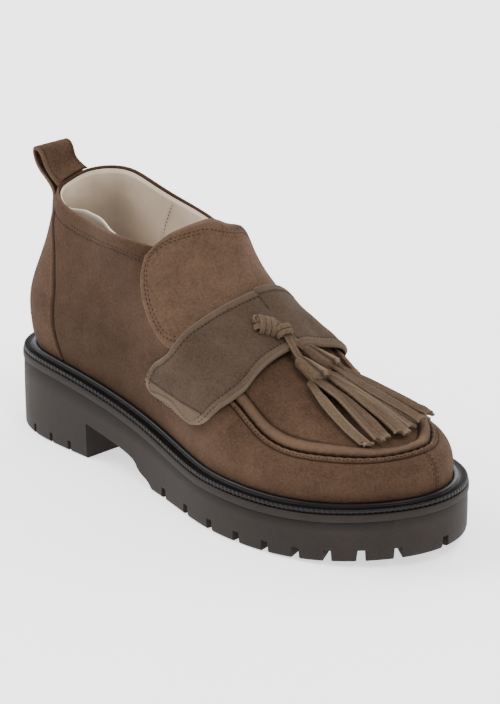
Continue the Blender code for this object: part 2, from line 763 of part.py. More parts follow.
def strap_grid():
    """Points on the form under the strap, with the level of each: rows from the lateral end to the medial end."""
    levels = np.array(STRAP_LEVELS)
    table = np.array(STRAP_EDGE)[::-1]
    run = (levels - levels[0]) / (STRAP_CORNER_LEVEL - levels[0])
    inset = STRAP_CORNER / SOLE_LENGTH * (1 - np.sqrt(1 - np.clip(1 - run, 0, 1) ** 2))
    mix = np.linspace(0, 1, STRAP_COLUMNS)
    level = np.broadcast_to(levels[:, None], (len(levels), STRAP_COLUMNS))
    sides = []
    for column, turned in ((1, False), (3, True)):
        back = np.interp(levels, table[:, 0], table[:, column]) + inset
        fore = np.interp(levels, table[:, 0], table[:, column + 1]) - inset
        turn = angle_of(back[:, None] * (1 - mix) + fore[:, None] * mix)
        sides.append(form(TURN - turn if turned else turn, level))
    lateral, medial = sides
    return np.concatenate([lateral, medial[-2::-1]]), np.concatenate([levels, levels[-2::-1]])


def make_strap(parts, upper_tree, tongue_tree):
    points, level = strap_grid()
    over_tongue = ease(*STRAP_CLIMB, level)
    lift = GAP + (TONGUE_THICKNESS + FOLD_GAP) * over_tongue
    points, _ = lay_plate(points, np.broadcast_to(lift[:, None], points.shape[:2]), 0)
    points = keep_clear(keep_clear(points, upper_tree, GAP), tongue_tree, FOLD_GAP)
    under, over = lay_plate(points, np.zeros(points.shape[:2]), STRAP_THICKNESS)
    return add_object("strap", sheet_mesh("strap", under, over), parts, NUBUCK)


def heel_point(across, level, distance):
    """A point on the heel's back at this height and this far to the side, off the upper's form by a distance."""
    turns = np.linspace(-0.7, 0.7, 141)
    sides = form(turns % TURN, level)[:, 1]
    turn = np.interp(across, sides[::-1], turns[::-1])
    return off_form(turn % TURN, level, distance)


def make_pull_loop(parts, upper_tree):
    """Folded strip: one run up the collar's back, the fold above it, and one run down to the collar's rim."""
    columns = []
    back = heel_point(0, 1.0, 0)
    for across in np.linspace(LOOP_WIDTH / 2, -LOOP_WIDTH / 2, LOOP_COLUMNS):
        outer = [heel_point(across, level, FOLD_GAP) for level in LOOP_LEVELS]
        rim = heel_point(across, 1.0, -0.2 * WALL)
        bow = []
        for backward, upward in LOOP_BOW:
            follow = (rim - back)[0] * (1 - upward)
            bow.append(np.array([back[0] + follow - backward * LOOP_REACH, across, back[2] + upward * LOOP_RISE]))
        route = np.array(outer + bow + [rim + np.array([0, 0, 2 * FOLD_GAP])])
        run = np.concatenate([[0], np.cumsum(np.linalg.norm(np.diff(route, axis=0), axis=1))])
        columns.append(spline(run, route, np.linspace(0, run[-1], LOOP_ROWS)))
    points = keep_clear(np.array(columns).transpose(1, 0, 2), upper_tree, FOLD_GAP)
    under, over = lay_plate(points, np.zeros(points.shape[:2]), LOOP_THICKNESS)
    return add_object("pull_loop", sheet_mesh("pull_loop", under, over), parts, SUEDE)


def spot_on(trees, x, y):
    """The highest surface below a point, with its normal."""
    hits = [tree.ray_cast(Vector((x, y, 1)), Vector((0, 0, -1))) for tree in trees]
    spot, normal = max(((hit[0], hit[1]) for hit in hits if hit[0]), key=lambda hit: hit[0].z)
    return np.array(spot), np.array(normal)


def strip_grid(trees, start, end, lift):
    """A strip laid over the surfaces from one plan point to another: rows along it, three points across."""
    rows = []
    run = np.append(end - start, 0)
    side = np.array([-run[1], run[0], 0]) / np.linalg.norm(run)
    for t in np.linspace(0, 1, STRIP_ROWS):
        x, y = start + (end - start) * t
        spots = [spot_on(trees, *(np.array([x, y]) + side[:2] * STRIP_WIDTH / 2 * k))[0] for k in (1, 0, -1)]
        drape = np.interp(t, (0, 0.25, 1), (0.3 * TASSEL_HEAD, 0.05 * TASSEL_HEAD, 0))
        rows.append([spot + np.array([0, 0, drape + lift]) for spot in spots])
    return np.array(rows)


def make_tassel(parts, cutters, name, plan, trees):
    """Rolled head with five strips that fan over the toe, fused to it."""
    plan = np.array(plan) * [SOLE_LENGTH, BALL_WIDTH]
    head, tips = plan[0], plan[1:]
    strips = bmesh.new()
    for i, tip in enumerate(tips):
        lift = FOLD_GAP + (i % 2) * 0.8 * STRIP_THICKNESS
        run = (tip - head) / np.linalg.norm(tip - head)
        side = (i - 2) * 0.16 * np.array([-run[1], run[0]])
        start = head + TASSEL_HEAD * (0.3 * run + side)
        points = keep_clear(strip_grid(trees, start, tip, lift), trees[0], FOLD_GAP)
        under, over = lay_plate(points, np.zeros(points.shape[:2]), STRIP_THICKNESS)
        strips.from_mesh(sheet_mesh(name, under, over))
    data = bpy.data.meshes.new(name + "_strips")
    strips.to_mesh(data)
    strips.free()
    cutter = add_cutter(name + "_strips", data, cutters)
    spot, _ = spot_on(trees, *head)
    ahead = Vector((*(tips.mean(0) - head), 0))
    ahead.z = -0.25 * ahead.length
    mesh = bmesh.new()
    radius = TASSEL_HEAD / 2
    bmesh.ops.create_cone(mesh, cap_ends=True, segments=12, radius1=radius, radius2=radius, depth=1.25 * TASSEL_HEAD)
    rims = [edge for edge in mesh.edges if edge.calc_face_angle() > 1]
    bmesh.ops.bevel(mesh, geom=rims, offset=0.3 * radius, segments=2, affect="EDGES")
    place = Matrix.Translation(Vector(spot) + Vector((0, 0, HEAD_LIFT + radius)))
    bmesh.ops.transform(mesh, matrix=place @ ahead.to_track_quat("Z", "Y").to_matrix().to_4x4(), verts=mesh.verts)
    tassel = add_object(name, finish_mesh(name, mesh), parts, NUBUCK)
    add_boolean(tassel, cutter, "UNION")
    return tassel


def add_block(mesh, size, centre, frame, bevel):
    """Box with rounded edges in a given frame."""
    block = bmesh.new()
    bmesh.ops.create_cube(block, size=1, matrix=Matrix.Diagonal((*size, 1)))
    bmesh.ops.bevel(block, geom=block.edges[:], offset=bevel, segments=2, affect="EDGES")
    bmesh.ops.transform(block, matrix=frame @ Matrix.Translation(centre), verts=block.verts)
    data = bpy.data.meshes.new("block")
    block.to_mesh(data)
    block.free()
    mesh.from_mesh(data)
    bpy.data.meshes.remove(data)


def make_knot(parts, cutters, trees):
    """Woven knot on the strap: a bar with two wraps, and a stem down to the tassels."""
    x, y = np.array(KNOT_PLACE) * [SOLE_LENGTH, BALL_WIDTH]
    spot, normal = spot_on(trees, x, y)
    back, _ = spot_on(trees, x - KNOT_LENGTH / 2, y)
    fore, _ = spot_on(trees, x + KNOT_LENGTH / 2, y)
    ahead = Vector(fore - back).normalized()
    side = Vector(normal).cross(ahead).normalized()
    up = ahead.cross(side)
    frame = Matrix((ahead, side, up)).transposed().to_4x4()
    seat = Vector((back + fore) / 2) + up * (KNOT_HEIGHT / 2 + FOLD_GAP)
    frame.translation = seat
    bar = bmesh.new()
    size = (KNOT_LENGTH, 0.28 * KNOT_LENGTH, 0.8 * KNOT_HEIGHT)
    add_block(bar, size, (0, 0, 0), frame, 0.15 * KNOT_HEIGHT)
    wraps = bmesh.new()
    for shift in (-0.2, 0.2):
        size = (0.2 * KNOT_LENGTH, 0.48 * KNOT_LENGTH, KNOT_HEIGHT)
        add_block(wraps, size, (shift * KNOT_LENGTH, 0, 0), frame, 0.2 * KNOT_HEIGHT)
    size = (STEM_LENGTH + 0.1 * KNOT_LENGTH, STEM_WIDTH, 0.6 * KNOT_HEIGHT)
    add_block(wraps, size, (0.5 * (KNOT_LENGTH + STEM_LENGTH), 0, 0), frame, 0.15 * KNOT_HEIGHT)
    data = bpy.data.meshes.new("knot_wraps")
    wraps.to_mesh(data)
    wraps.free()
    cutter = add_cutter("knot_wraps", data, cutters)
    knot = add_object("tassel_knot", finish_mesh("tassel_knot", bar), parts, NUBUCK)
    add_boolean(knot, cutter, "UNION")
    return knot


def main():
    """Clear the scene and build the shoe, from the floor up."""
    for item in list(bpy.data.objects):
        bpy.data.objects.remove(item)
    parts = bpy.data.collections.new("high_top_tassel_loafer")
    cutters = bpy.data.collections.new("cutters")
    bpy.context.scene.collection.children.link(parts)
    bpy.context.scene.collection.children.link(cutters)
    make_outsole(parts, cutters)
    make_welt(parts)
    make_insole(parts)
    upper_tree = surface_tree(make_upper(parts))
    tongue_tree = surface_tree(make_tongue(parts, upper_tree))
    strap_tree = surface_tree(make_strap(parts, upper_tree, tongue_tree))
    make_pull_loop(parts, upper_tree)
    make_knot(parts, cutters, (strap_tree,))
    for name, plan in TASSELS.items():
        make_tassel(parts, cutters, name, plan, (upper_tree, strap_tree))


main()
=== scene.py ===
"""Looks of a high-top tassel loafer, right shoe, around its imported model.

Metres, +Z up, toe to +X, outer side to -Y.
"""

import bmesh
import bpy
import numpy as np
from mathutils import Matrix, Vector
from mathutils.bvhtree import BVHTree


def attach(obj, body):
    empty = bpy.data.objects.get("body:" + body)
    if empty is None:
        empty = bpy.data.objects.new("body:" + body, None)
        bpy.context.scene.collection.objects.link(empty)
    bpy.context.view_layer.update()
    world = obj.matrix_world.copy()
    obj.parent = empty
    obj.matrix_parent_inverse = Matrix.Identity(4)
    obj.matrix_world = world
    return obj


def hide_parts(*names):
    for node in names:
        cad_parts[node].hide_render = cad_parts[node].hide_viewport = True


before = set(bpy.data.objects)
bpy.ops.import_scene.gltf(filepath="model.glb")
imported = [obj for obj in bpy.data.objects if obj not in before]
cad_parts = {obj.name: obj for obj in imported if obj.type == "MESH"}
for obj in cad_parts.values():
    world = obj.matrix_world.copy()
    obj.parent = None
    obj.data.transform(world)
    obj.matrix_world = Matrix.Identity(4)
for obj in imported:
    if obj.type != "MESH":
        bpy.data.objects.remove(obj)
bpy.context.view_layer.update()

MM = 0.001
TURN = 2 * np.pi

# Sizes of the shoe, as in the part's source
SOLE_LENGTH = 278 * MM
BALL_WIDTH = 107 * MM
HEEL_SOLE_HEIGHT = 40.7 * MM
FORE_SOLE_HEIGHT = 23.7 * MM
TOE_SPRING = 6 * MM
WELT_THICKNESS = 3.5 * MM
WELT_REACH = 8 * MM
UPPER_HEIGHT = 86 * MM
WALL = 2.2 * MM
GAP = 0.3 * MM
SOLE_BAND = 4 * MM
SOLE_BAND_STEP = 0.5 * MM
SOLE_CHAMFER = 1.5 * MM
SOLE_SHARP = 0.6
WELT_BEAD = 3 * MM
WELT_SHELF = 2.2 * MM
WELT_SETBACK = 0.6 * MM
BREAST_HEIGHT = 19 * MM
SLOT_DEPTH = 15 * MM
FORE_SLOT_WIDTH = 4.8 * MM
FORE_SLOT_HEIGHT = 5.8 * MM
HEEL_SLOT_WIDTH = 3 * MM
HEEL_SLOT_HEIGHT = 5.5 * MM
COUNTER_STEP = 0.9 * MM
TONGUE_THICKNESS = 2.4 * MM
STRAP_THICKNESS = 2.2 * MM
STRAP_CORNER = 8 * MM
LOOP_WIDTH = 22 * MM
LOOP_THICKNESS = 1.8 * MM
LOOP_RISE = 15 * MM
LOOP_REACH = 13 * MM
STRIP_WIDTH = 4.9 * MM
STRIP_THICKNESS = 1.7 * MM
TASSEL_HEAD = 11 * MM

# Sizes of the leather's layers, stitches and trim
SUEDE = 1.3 * MM
LINING = 0.9 * MM
RIM_CORD = 0.4 * MM
LINING_GAPE = 3.6 * MM
LINING_RISE = 2.4 * MM
LINING_DROP = 1.5 * MM
LINING_SEAM = (0.275, 0.17)
THREAD = 0.42 * MM
STITCH = 2.3 * MM
RIDGE_WIDTH = 6.0 * MM
RIDGE_HEIGHT = 1.8 * MM
WELT_RIB = 1.3 * MM
PUCKER_PITCH = 4.6
WHIP_LEAN = 1.0
UPPER_COLUMNS = 440
DRAPE_START = 9 * MM
TONGUE_SPREAD = 9
STRAP_SPREAD = 13
STRAP_END_ROWS = 28
# Lines of stitches, by their distance from the edge or from the moccasin seam
COLLAR_STITCHES = (8.6 * MM, 6.4 * MM)
MOC_STITCHES = (0.1 * MM, -3.7 * MM)
TONGUE_STITCHES = (5.2 * MM, 7.4 * MM)
STRAP_STITCHES = (4.6 * MM, 1.5 * MM, 10.5 * MM)
LOOP_STITCHES = 2.2 * MM
# Stations of one stitch: share of its length, of its radius, height over its seat in radii
STITCH_STATIONS = (
    (-0.5, 0.35, -0.9), (-0.36, 0.9, 0.0), (0, 1.0, 0.35), (0.36, 0.9, 0.0), (0.5, 0.35, -0.9),
)

SHARES = np.array([0.0, 0.03, 0.12, 0.28, 0.42, 0.52, 0.62, 0.74, 0.86, 0.95, 1.0])
# Edge of the sole at each section, heel to toe: lateral, medial, as shares of the ball width
SOLE_EDGE = [
    (0.0, 0.0),
    (-0.23, 0.22),
    (-0.345, 0.335),
    (-0.362, 0.335),
    (-0.385, 0.335),
    (-0.44, 0.375),
    (-0.50, 0.435),
    (-0.505, 0.49),
    (-0.42, 0.45),
    (-0.25, 0.315),
    (0.03, 0.03),
]
# Widest ring of the upper's side: lateral and medial swell, shares of the ball width; height, of the upper's
BULGE = [
    (0.020, 0.020, 0.20),
    (0.022, 0.022, 0.20),
    (0.028, 0.028, 0.20),
    (0.033, 0.023, 0.20),
    (0.033, 0.019, 0.19),
    (0.033, 0.023, 0.18),
    (0.033, 0.028, 0.17),
    (0.033, 0.033, 0.16),
    (0.028, 0.016, 0.15),
    (0.018, 0.000, 0.15),
    (0.004, 0.004, 0.15),
]
# Rings higher up: along, of the sole's length; lateral and medial, of the ball width;
# their heights, of the upper's
SHOULDER = [
    (0.031, 0.0, 0.0, 0.46, 0.46),
    (0.049, -0.178, 0.178, 0.46, 0.46),
    (0.130, -0.276, 0.271, 0.46, 0.46),
    (0.284, -0.315, 0.294, 0.47, 0.47),
    (0.406, -0.340, 0.299, 0.48, 0.48),
    (0.507, -0.364, 0.310, 0.505, 0.505),
    (0.615, -0.364, 0.325, 0.510, 0.510),
    (0.716, -0.358, 0.345, 0.323, 0.323),
    (0.830, -0.310, 0.325, 0.277, 0.277),
    (0.900, -0.170, 0.200, 0.246, 0.246),
    (0.931, 0.037, 0.037, 0.230, 0.230),
]
INSTEP = [
    (0.060, 0.0, 0.0, 0.75, 0.75),
    (0.074, -0.136, 0.145, 0.74, 0.75),
    (0.130, -0.238, 0.243, 0.72, 0.76),
    (0.259, -0.280, 0.276, 0.70, 0.74),
    (0.403, -0.315, 0.290, 0.76, 0.76),
    (0.478, -0.300, 0.270, 0.755, 0.775),
    (0.596, -0.224, 0.200, 0.635, 0.622),
    (0.716, -0.205, 0.172, 0.463, 0.440),
    (0.813, -0.180, 0.172, 0.370, 0.360),
    (0.885, -0.084, 0.121, 0.277, 0.277),
    (0.921, 0.037, 0.037, 0.236, 0.236),
]
CREST = [
    (0.063, 0.01, 0.01, 1.0, 1.0),
    (0.079, -0.100, 0.120, 0.980, 1.045),
    (0.137, -0.190, 0.224, 0.944, 1.058),
    (0.252, -0.255, 0.262, 0.975, 1.005),
    (0.403, -0.262, 0.245, 1.045, 0.945),
    (0.500, 0.047, 0.047, 0.890, 0.890),
    (0.590, 0.037, 0.037, 0.685, 0.685),
    (0.716, 0.028, 0.028, 0.503, 0.503),
    (0.799, 0.019, 0.019, 0.399, 0.399),
    (0.874, 0.028, 0.028, 0.288, 0.288),
    (0.906, 0.037, 0.037, 0.230, 0.230),
]
# Rings of the tongue where they differ from the upper's, after the number of their section
TONGUE_INSTEP = [
    (3, 0.300, -0.290, 0.270, 1.100, 1.100),
    (4, 0.406, -0.296, 0.272, 0.985, 0.970),
]
TONGUE_CREST = [
    (3, 0.465, 0.047, 0.047, 1.330, 1.330),
    (4, 0.462, 0.037, 0.037, 1.145, 1.145),
]
TONGUE_FRONT = 0.645
TONGUE_TOP = 0.405
UPPER_OPEN = (0.40, 0.52)
TONGUE_OPEN = (0.30, 0.38)
# Shares of the sole's length between which its top slopes down
SLOPE = (0.11, 0.63)
SPRING_FROM = 0.72
# Arch under the waist: share of the sole's length, share of the breast's height
ARCH = [
    (0.259, 0.0),
    (0.259, 1.0),
    (0.35, 0.76),
    (0.395, 0.60),
    (0.406, 0.34),
    (0.438, 0.20),
    (0.450, 0.0),
]
# Slots in the tread's edge, as shares of the sole's length, the same on both sides; one more is at the toe
FORE_SLOTS = (0.489, 0.566, 0.640, 0.708, 0.770, 0.828, 0.880, 0.927, 0.970)
HEEL_SLOTS = (0.048, 0.104, 0.158, 0.211)
# Seam of the heel counter: level up the upper, share of the sole's length
COUNTER = [
    (0.0, 0.170),
    (0.15, 0.155),
    (0.45, 0.134),
    (0.62, 0.128),
    (0.76, 0.112),
    (0.86, 0.078),
    (1.0, 0.060),
]
COUNTER_TURN = 0.70
COUNTER_RELEASE = 1.35
# Side edge of the tongue: share of the sole's length, level
TONGUE_EDGE = [
    (0.405, 0.77),
    (0.43, 0.70),
    (0.46, 0.65),
    (0.49, 0.61),
    (0.52, 0.57),
    (0.58, 0.56),
    (0.645, 0.55),
]
# Edges of the strap: level; shares of the sole's length between which it lies, lateral then medial
STRAP_EDGE = [
    (1.0, 0.550, 0.670, 0.550, 0.670),
    (0.75, 0.556, 0.670, 0.552, 0.660),
    (0.55, 0.525, 0.672, 0.528, 0.655),
    (0.42, 0.466, 0.656, 0.485, 0.645),
    (0.32, 0.440, 0.628, 0.460, 0.620),
    (0.22, 0.424, 0.596, 0.445, 0.595),
]
STRAP_CORNER_LEVEL = 0.29
# Tassels: heads and strip tips in plan; each strip's bow to the side in mm, twist, height of its tip in mm
TASSELS = {
    "tassel_lateral": [
        (0.694, -0.040, 0, 0, 0),
        (0.886, -0.145, -5.0, 0.6, 0.4),
        (0.893, -0.098, -0.5, -0.4, 0.8),
        (0.887, -0.045, 1.0, 0.5, 1.2),
        (0.893, 0.008, 0.5, -0.5, 1.6),
        (0.897, 0.058, 1.0, 0.6, 2.0),
    ],
    "tassel_medial": [
        (0.674, 0.062, 0, 0, 0),
        (0.888, 0.112, -1.0, -0.5, 2.6),
        (0.898, 0.146, 0.5, 0.2, 3.6),
        (0.895, 0.180, 0.4, -0.3, 4.6),
        (0.892, 0.204, 0.5, 0.3, 5.2),
        (0.888, 0.228, 0.6, -0.3, 5.8),
    ],
}
KNOT_PLACE = (0.602, -0.050)
KNOT_HEADING = 0.75
# Pull loop: backward, a share of its reach; upward, of its rise
LOOP_BOW = [
    (0.80, 0.38),
    (1.02, 0.80),
    (0.98, 1.0),
    (0.80, 1.0),
    (0.62, 0.66),
]
LOOP_LEVELS = (0.82, 0.86, 0.90, 0.95)
# Creases of the upper: share of the sole's length, level, heading in degrees;
# length, width and depth in mm; side
CREASES = [
    (0.30, 0.60, 70, 34, 9, 0.55, 1),
    (0.38, 0.42, 60, 30, 8, 0.45, 1),
    (0.24, 0.34, 80, 30, 9, 0.40, 1),
    (0.62, 0.26, 10, 26, 7, 0.40, 1),
    (0.70, 0.18, 5, 30, 6, 0.35, 1),
    (0.45, 0.20, 15, 28, 8, 0.35, 1),
    (0.30, 0.55, 65, 34, 9, 0.50, -1),
    (0.42, 0.40, 55, 30, 8, 0.45, -1),
    (0.64, 0.24, 10, 26, 7, 0.40, -1),
    (0.24, 0.30, 80, 28, 9, 0.35, -1),
]

# Levels of the rings, of the moccasin seam and of the upper's inner face
LEVELS = np.array([0.0, 0.15, 0.45, 0.75, 1.0, 1.25])
MOC_LEVEL = 0.45
INNER_LEVELS = np.array([0.98, 0.94, 0.88, 0.78, 0.66, 0.5, 0.36, 0.24, 0.12, 0.0])

# Camera in the last's frame: turn about the target, height angle, distance, target, point of aim, lens
CAMERA_TURN = np.radians(46.2)
CAMERA_RISE = np.radians(22.0)
CAMERA_DISTANCE = 1403 * MM
CAMERA_TARGET = np.array([139.0, 0.0, 40.0]) * MM
CAMERA_AIM = np.array([137.8, 12.5, 62.0]) * MM
CAMERA_LENS = 146.0
CAMERA_SENSOR = 36.0

# Studio: lamps with their places and power, their size, the world's light, the floor's glow and its wall
LAMPS = {
    "key": ((-1.6, -0.9, 1.9), 52),
    "top": ((1.3, -0.2, 2.4), 46),
    "rear": ((-0.4, 1.8, 1.6), 14),
}
LAMP_SIZE = 1.4
WORLD_LIGHT = 0.95
FLOOR_GLOW = 1.4
FLOOR_FRONT = -4.0
FLOOR_BACK = 1.8
FLOOR_BEND = 1.2
FLOOR_SIDE = 6.0
WALL_TOP = 6.0


def angle_of(along):
    """Turn about the shoe where the sole's edge is this far along: 0 at the heel, half a turn at the toe."""
    return np.arccos(1 - 2 * np.asarray(along, float))


def along_of(turn):
    return (1 - np.cos(turn)) / 2


def second_slopes(knots, values, period):
    """Second derivatives at the knots of a cubic spline: closed with a period, else natural at both ends."""
    count = len(knots)
    matrix = np.zeros((count, count))
    right = np.zeros((count,) + values.shape[1:])
    for i in range(count):
        before, after = (i - 1) % count, (i + 1) % count
        if period is None and i in (0, count - 1):
            matrix[i, i] = 1
            continue
        h0, h1 = knots[i] - knots[before], knots[after] - knots[i]
        if period is not None:
            h0, h1 = h0 % period, h1 % period
        matrix[i, before] += h0 / 6
        matrix[i, i] += (h0 + h1) / 3
        matrix[i, after] += h1 / 6
        right[i] = (values[after] - values[i]) / h1 - (values[i] - values[before]) / h0
    flat = right.reshape(count, -1)
    return np.linalg.solve(matrix, flat).reshape(right.shape)


def spline(knots, values, at, period=None):
    """Cubic spline through values at knots, read at every entry of at."""
    knots, values, at = np.asarray(knots, float), np.asarray(values, float), np.asarray(at, float)
    curve = second_slopes(knots, values, period)
    if period is not None:
        at = knots[0] + (at - knots[0]) % period
        knots = np.append(knots, knots[0] + period)
        values, curve = np.concatenate([values, values[:1]]), np.concatenate([curve, curve[:1]])
    cell = np.clip(np.searchsorted(knots, at, side="right") - 1, 0, len(knots) - 2)
    h = knots[cell + 1] - knots[cell]
    b = (at - knots[cell]) / h
    spread = (...,) + (None,) * (values.ndim - 1)
    a, b, h = (1 - b)[spread], b[spread], h[spread]
    bend = ((a**3 - a) * curve[cell] + (b**3 - b) * curve[cell + 1]) * h**2 / 6
    return a * values[cell] + b * values[cell + 1] + bend


def ease(low, high, at):
    """0 up to low, 1 from high, and a smooth rise between them."""
    t = np.clip((np.asarray(at, float) - low) / (high - low), 0, 1)
    return t * t * (3 - 2 * t)


def bell(at, middle, width):
    return np.exp(-(((at - middle) / width) ** 2))


HALF = angle_of(SHARES)
KNOTS = np.concatenate([HALF, TURN - HALF[-2:0:-1]])


def around(lateral, medial):
    """One value for each knot round the shoe, from the values of its two sides."""
    lateral, medial = np.asarray(lateral, float), np.asarray(medial, float)
    return np.concatenate([lateral, medial[-2:0:-1]])


def floor_lift(x):
    """Height of the tread above the floor: the toe springs up."""
    share = np.asarray(x, float) / SOLE_LENGTH
    return TOE_SPRING * np.clip((share - SPRING_FROM) / (1 - SPRING_FROM), 0, 1) ** 2


def sole_top(x):
    """Height of the sole's upper face at this distance from the back of the heel."""
    share = np.asarray(x, float) / SOLE_LENGTH
    return HEEL_SOLE_HEIGHT + (FORE_SOLE_HEIGHT - HEEL_SOLE_HEIGHT) * ease(*SLOPE, share) + floor_lift(x)


def sole_edge(turn, inset=0.0):
    """Plan of the sole's edge, or of the line this far inside it."""
    table = np.array(SOLE_EDGE)
    across = around(table[:, 0], table[:, 1]) * BALL_WIDTH

    def point(at):
        return np.stack([along_of(at) * SOLE_LENGTH, spline(KNOTS, across, at, TURN)], -1)

    step = 1e-3
    edge = point(turn)
    run = point(turn + step) - point(turn - step)
    run /= np.linalg.norm(run, axis=-1, keepdims=True)
    outward = np.stack([run[..., 1], -run[..., 0]], -1)
    return edge - inset * outward, outward


def ring_points(table, turn):
    """A ring of the upper, read round the shoe."""
    along, lateral, medial, lateral_height, medial_height = np.array(table).T
    base = sole_top(SHARES * SOLE_LENGTH)
    level = around(base + lateral_height * UPPER_HEIGHT, base + medial_height * UPPER_HEIGHT)
    x = spline(KNOTS, around(along, along) * SOLE_LENGTH, turn, TURN)
    y = spline(KNOTS, around(lateral, medial) * BALL_WIDTH, turn, TURN)
    z = spline(KNOTS, level, turn, TURN)
    return np.stack([x, y, z], -1)


def crest_points(turn, table, closed_from):
    """The ring along the top: open about the leg, then one line down the middle of the instep to the toe."""
    points = ring_points(table, turn)
    lateral, medial = np.array(table).T[1:3]
    share = along_of(turn)
    middle = np.interp(share, SHARES, (lateral + medial) / 2) * BALL_WIDTH
    side = np.where(np.sin(turn) >= 0, -1, 1)
    half = np.maximum(side * (points[..., 1] - middle), 0)
    points[..., 1] = np.where(share >= closed_from, middle, middle + side * half)
    return points


def changed(table, rows):
    """The table with some of its sections replaced."""
    table = list(table)
    for row in rows:
        table[row[0]] = row[1:]
    return table


UPPER_RINGS = (INSTEP, CREST, *UPPER_OPEN)
TONGUE_RINGS = (changed(INSTEP, TONGUE_INSTEP), changed(CREST, TONGUE_CREST), *TONGUE_OPEN)


def form(turn, level, rings=UPPER_RINGS):
    """The upper's outer form: turn goes round the shoe, level from the sole's seam (0) to the top (1)."""
    instep_table, crest_table, open_up_to, closed_from = rings
    turn, level = np.broadcast_arrays(np.asarray(turn, float), np.asarray(level, float))
    foot, outward = sole_edge(turn, WELT_REACH)
    seam = np.concatenate([foot, (sole_top(foot[..., 0]) + GAP)[..., None]], -1)
    swell_lateral, swell_medial, height = np.array(BULGE).T
    swell = spline(KNOTS, around(swell_lateral, swell_medial) * BALL_WIDTH, turn, TURN)
    rise = spline(KNOTS, around(height, height) * UPPER_HEIGHT, turn, TURN)
    bulge = np.concatenate([foot + outward * swell[..., None], seam[..., 2:] + rise[..., None]], -1)
    shoulder, instep = ring_points(SHOULDER, turn), ring_points(instep_table, turn)
    crest = crest_points(turn, crest_table, closed_from)
    shut = ease(open_up_to, closed_from, along_of(turn))[..., None]
    beyond = (1 - shut) * (2 * crest - instep) + shut * ring_points(instep_table, TURN - turn)
    knots = np.stack([seam, bulge, shoulder, instep, crest, beyond])
    curve = second_slopes(LEVELS, knots, None)
    cell = np.clip(np.searchsorted(LEVELS, level, side="right") - 1, 0, len(LEVELS) - 2)
    h = (LEVELS[cell + 1] - LEVELS[cell])[..., None]
    b = (level - LEVELS[cell])[..., None] / h
    a = 1 - b

    def pick(values, index):
        return np.take_along_axis(values, index[None, ..., None], 0)[0]

    bend = ((a**3 - a) * pick(curve, cell) + (b**3 - b) * pick(curve, cell + 1)) * h**2 / 6
    return a * pick(knots, cell) + b * pick(knots, cell + 1) + bend


def unit(vectors):
    return vectors / np.maximum(np.linalg.norm(vectors, axis=-1, keepdims=True), 1e-12)


def form_normal(turn, level):
    step = 2e-3
    round_shoe = form(turn + step, level) - form(turn - step, level)
    upward = form(turn, np.asarray(level) + step) - form(turn, np.asarray(level) - step)
    return unit(np.cross(round_shoe, upward))


def off_form(turn, level, distance):
    """A point this far outside the upper's form; negative is inside."""
    return form(turn, level) + form_normal(turn, level) * np.asarray(distance)[..., None]


def footprint_centre():
    plan, _ = sole_edge(np.linspace(0, TURN, 721))
    return (plan.min(0) + plan.max(0)) / 2


PLACE = np.array([*(-footprint_centre()), 0.0])


def run_along(points):
    """Distance along a polyline at each of its points."""
    return np.concatenate([[0], np.cumsum(np.linalg.norm(np.diff(points, axis=0), axis=1))])


def rise_along(points):
    """Distance of each grid point from the first row, along its column."""
    steps = np.linalg.norm(np.diff(points, axis=0), axis=-1)
    return np.concatenate([np.zeros((1, points.shape[1])), np.cumsum(steps, 0)])


def grid_normals(points):
    return unit(np.cross(np.gradient(points, axis=1), np.gradient(points, axis=0)))


def lay_plate(points, thickness):
    """Lower and upper faces of a sheet on a grid of points."""
    return points, points + grid_normals(points) * thickness[..., None]


def circles(side, up, ring):
    """Unit circles in the planes of two directions, one for each point of a line."""
    return side[:, None] * np.cos(ring)[None, :, None] + up[:, None] * np.sin(ring)[None, :, None]


# Meshes and pieces


def grid_quads(rows, columns, start=0, wrap=False):
    index = start + np.arange(rows * columns).reshape(rows, columns)
    if wrap:
        index = np.concatenate([index, index[:, :1]], 1)
    return np.stack([index[:-1, :-1], index[:-1, 1:], index[1:, 1:], index[1:, :-1]], -1).reshape(-1, 4)


def closing_quads(index):
    """Faces from the last ring of a grid of rings back to its first."""
    return np.stack([index[-1], np.roll(index[-1], -1), np.roll(index[0], -1), index[0]], -1)


def without_rim(faces, count, first, end, shut):
    """Faces of a grid of rings, less those of rows first to end that would span the shut part of the rim."""
    row = faces[:, 0] // count
    return faces[~((row >= first) & (row < end) & shut[faces % count].all(1))]


def close_seam(points, rings, shut):
    """Let both sides of each ring share their points where it is shut."""
    half = np.arange(len(shut) // 2 + 1, len(shut))
    half = half[shut[half]]
    for ring in rings:
        points[ring[half]] = points[ring[len(shut) - half]]


def add_object(name, data):
    thing = bpy.data.objects.new(name, data)
    bpy.context.scene.collection.objects.link(thing)
    return thing


def add_piece(name, points, faces, material, tone=None, node=None, sharp=None):
    """Object from points in the last's frame, on body root, with its tone (dark to light) on each point."""
    data = bpy.data.meshes.new(name)
    data.from_pydata((np.asarray(points) + PLACE).tolist(), [], [list(face) for face in faces])
    if tone is None:
        tone = np.full(len(points), 0.5)
    layer = data.attributes.new("tone", "FLOAT", "POINT")
    layer.data.foreach_set("value", np.asarray(tone, np.float32).ravel())
    mesh = bmesh.new()
    mesh.from_mesh(data)
    bmesh.ops.remove_doubles(mesh, verts=mesh.verts, dist=2e-6)
    loose = [vert for vert in mesh.verts if not vert.link_faces]
    bmesh.ops.delete(mesh, geom=loose, context="VERTS")
    bmesh.ops.recalc_face_normals(mesh, faces=mesh.faces)
    mesh.to_mesh(data)
    mesh.free()
    data.shade_smooth()
    if sharp:
        data.set_sharp_from_angle(angle=sharp)
    data.materials.append(material)
    piece = add_object(name, data)
    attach(piece, "root")
    if node:
        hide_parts(node)
    return piece


